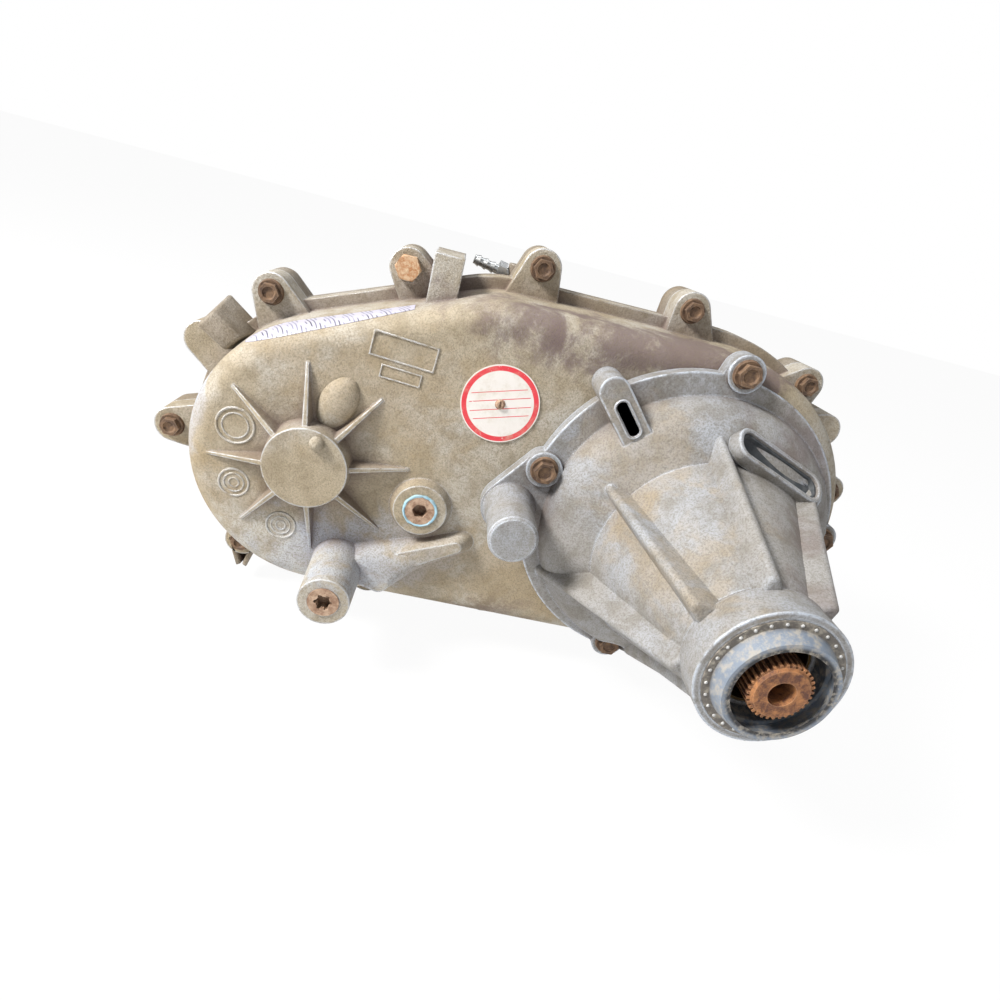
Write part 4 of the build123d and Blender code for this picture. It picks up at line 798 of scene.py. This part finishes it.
marks = [raised_ring(x, z, radius, line) for x, z, rings in ring_marks for radius, line in rings]
marks += [raised_frame(*values) for values in frame_marks]
join_as("cover_marks", marks, cover_cast, "case")

ear = drafted_block(middle=(-0.3335, -0.1290, 0.0630), size=(0.032, 0.036, 0.022), turn=-38,
                    tip_scale=(0.72, 0.62), width=0.002)
join_as("rim_ear", [ear], front_cast, "case")
fins = [
    drafted_block(middle=(-0.3045, -0.1210, -0.1040), size=(0.005, 0.018, 0.034), turn=-20,
                  tip_scale=(0.7, 0.95), width=0.001),
    drafted_block(middle=(-0.3170, -0.1210, -0.1070), size=(0.005, 0.018, 0.028), turn=24,
                  tip_scale=(0.7, 0.95), width=0.001),
]
join_as("rim_fins", fins, front_cast, "case")

for number, (turn, front, rear) in enumerate(tail_ribs, 1):
    join_as("tail_rib_%d" % number, [tail_rib(turn, front, rear)], tail_cast, "case")

slot_rim = long_hole(size=(0.072, 0.010, 0.0215), rim=0.0030)
lie_on(slot_rim, slot_middle, slot_along, slot_outward)
join_as("slot_rim", [slot_rim], tail_cast, "case")
slot_rubber = long_hole(size=(0.066, 0.006, 0.0165), rim=0.0022)
lie_on(slot_rubber, slot_middle, slot_along, slot_outward)
join_as("slot_rubber", [slot_rubber], plug_rubber, "case")

bar_window = long_hole(size=(0.027, 0.002, 0.0105), rim=0.0012)
bar_along = (math.cos(bar_turn), 0.0, math.sin(bar_turn))
bar_middle = (bar_radius * bar_along[0], bar_station, bar_radius * bar_along[2])
lie_on(bar_window, bar_middle, bar_along, (0.0, -1.0, 0.0))
join_as("bar_window", [bar_window], tail_cast, "case")

film_finish = nodes["strip_label"].data.materials[0]
strip_film = join_as("strip_film", [edge_film()], film_finish, "case")
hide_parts("strip_label")
join_as("seal_dots", seal_dots(), clean_cast, "case")
join_as("sealant_trace", [sealant_trace()], thread_sealant, "case")

# Camera where the photographer stood, behind and above; place and directions solved from the photo.
eye = bpy.data.cameras.new("camera")
eye.sensor_width = 36.0
eye.lens = 22.91
eye.clip_end = 50.0
camera = bpy.data.objects.new("camera", eye)
bpy.context.scene.collection.objects.link(camera)
right = Vector((0.96967, -0.04218, 0.24073))
upward = Vector((-0.20187, 0.41704, 0.88620))
ahead = Vector((0.13778, 0.90791, -0.39588))
eye_place = (-0.1931, -0.5695, 0.1720)
rows = [(right[i], upward[i], -ahead[i], eye_place[i]) for i in range(3)]
camera.matrix_world = Matrix((*rows, (0, 0, 0, 1)))
bpy.context.scene.camera = camera


def seen_directly(tree, *kinds):
    """1 for the named kinds of ray, 0 for the light that falls on the object."""
    rays = tree.nodes.new("ShaderNodeLightPath")
    seen = rays.outputs[kinds[0]]
    for kind in kinds[1:]:
        seen = calculate(tree, "ADD", seen, rays.outputs[kind])
    return seen


# Pale floor that keeps the shadow, under a white surrounding.
white_share = 0.95
light_level = 0.33
select_none()
bpy.ops.mesh.primitive_plane_add(size=16.0, location=(0.0, 0.0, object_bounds()[0][2] - 0.002))
floor = bpy.context.active_object
floor.name = "floor"
paper = bpy.data.materials.new("pale floor")
paper.use_nodes = True
tree = paper.node_tree
tree.nodes.clear()
lit = tree.nodes.new("ShaderNodeBsdfDiffuse")
lit.inputs["Color"].default_value = (0.9, 0.9, 0.9, 1)
white = tree.nodes.new("ShaderNodeEmission")
white.inputs["Strength"].default_value = 1.0
seen = seen_directly(tree, "Is Camera Ray", "Is Glossy Ray", "Is Transmission Ray")
share = calculate(tree, "MULTIPLY", seen, white_share)
mixed = tree.nodes.new("ShaderNodeMixShader")
tree.links.new(share, mixed.inputs["Fac"])
tree.links.new(lit.outputs["BSDF"], mixed.inputs[1])
tree.links.new(white.outputs["Emission"], mixed.inputs[2])
surface = tree.nodes.new("ShaderNodeOutputMaterial")
tree.links.new(mixed.outputs["Shader"], surface.inputs["Surface"])
floor.data.materials.append(paper)

world = bpy.data.worlds.new("studio")
bpy.context.scene.world = world
world.use_nodes = True
tree = world.node_tree
background = tree.nodes["Background"]
level = tree.nodes.new("ShaderNodeMapRange")
level.inputs["To Min"].default_value = light_level
level.inputs["To Max"].default_value = 1.0
tree.links.new(seen_directly(tree, "Is Camera Ray", "Is Transmission Ray"), level.inputs["Value"])
tree.links.new(level.outputs["Result"], background.inputs["Strength"])
background.inputs["Color"].default_value = (1.0, 1.0, 1.0, 1)


def softbox(name, position, target, size, power, colour):
    """Square area light that faces its target."""
    lamp = bpy.data.lights.new(name, "AREA")
    lamp.shape = "SQUARE"
    lamp.size = size
    lamp.energy = power
    lamp.color = colour
    item = bpy.data.objects.new(name, lamp)
    bpy.context.scene.collection.objects.link(item)
    item.location = position
    item.rotation_euler = (Vector(target) - Vector(position)).to_track_quat("-Z", "Y").to_euler()


softbox("key", position=(-1.5, -0.7, 1.2), target=(-0.1, -0.15, 0.0), size=0.45, power=74.0,
        colour=(1.0, 0.98, 0.95))
softbox("fill", position=(0.6, -1.5, 0.5), target=(-0.1, -0.15, 0.0), size=1.2, power=3.5,
        colour=(0.94, 0.96, 1.0))
softbox("top", position=(-0.2, 0.1, 1.5), target=(-0.1, -0.1, 0.0), size=0.8, power=9.0,
        colour=(0.95, 0.97, 1.0))

bpy.context.scene.view_settings.view_transform = "Standard"
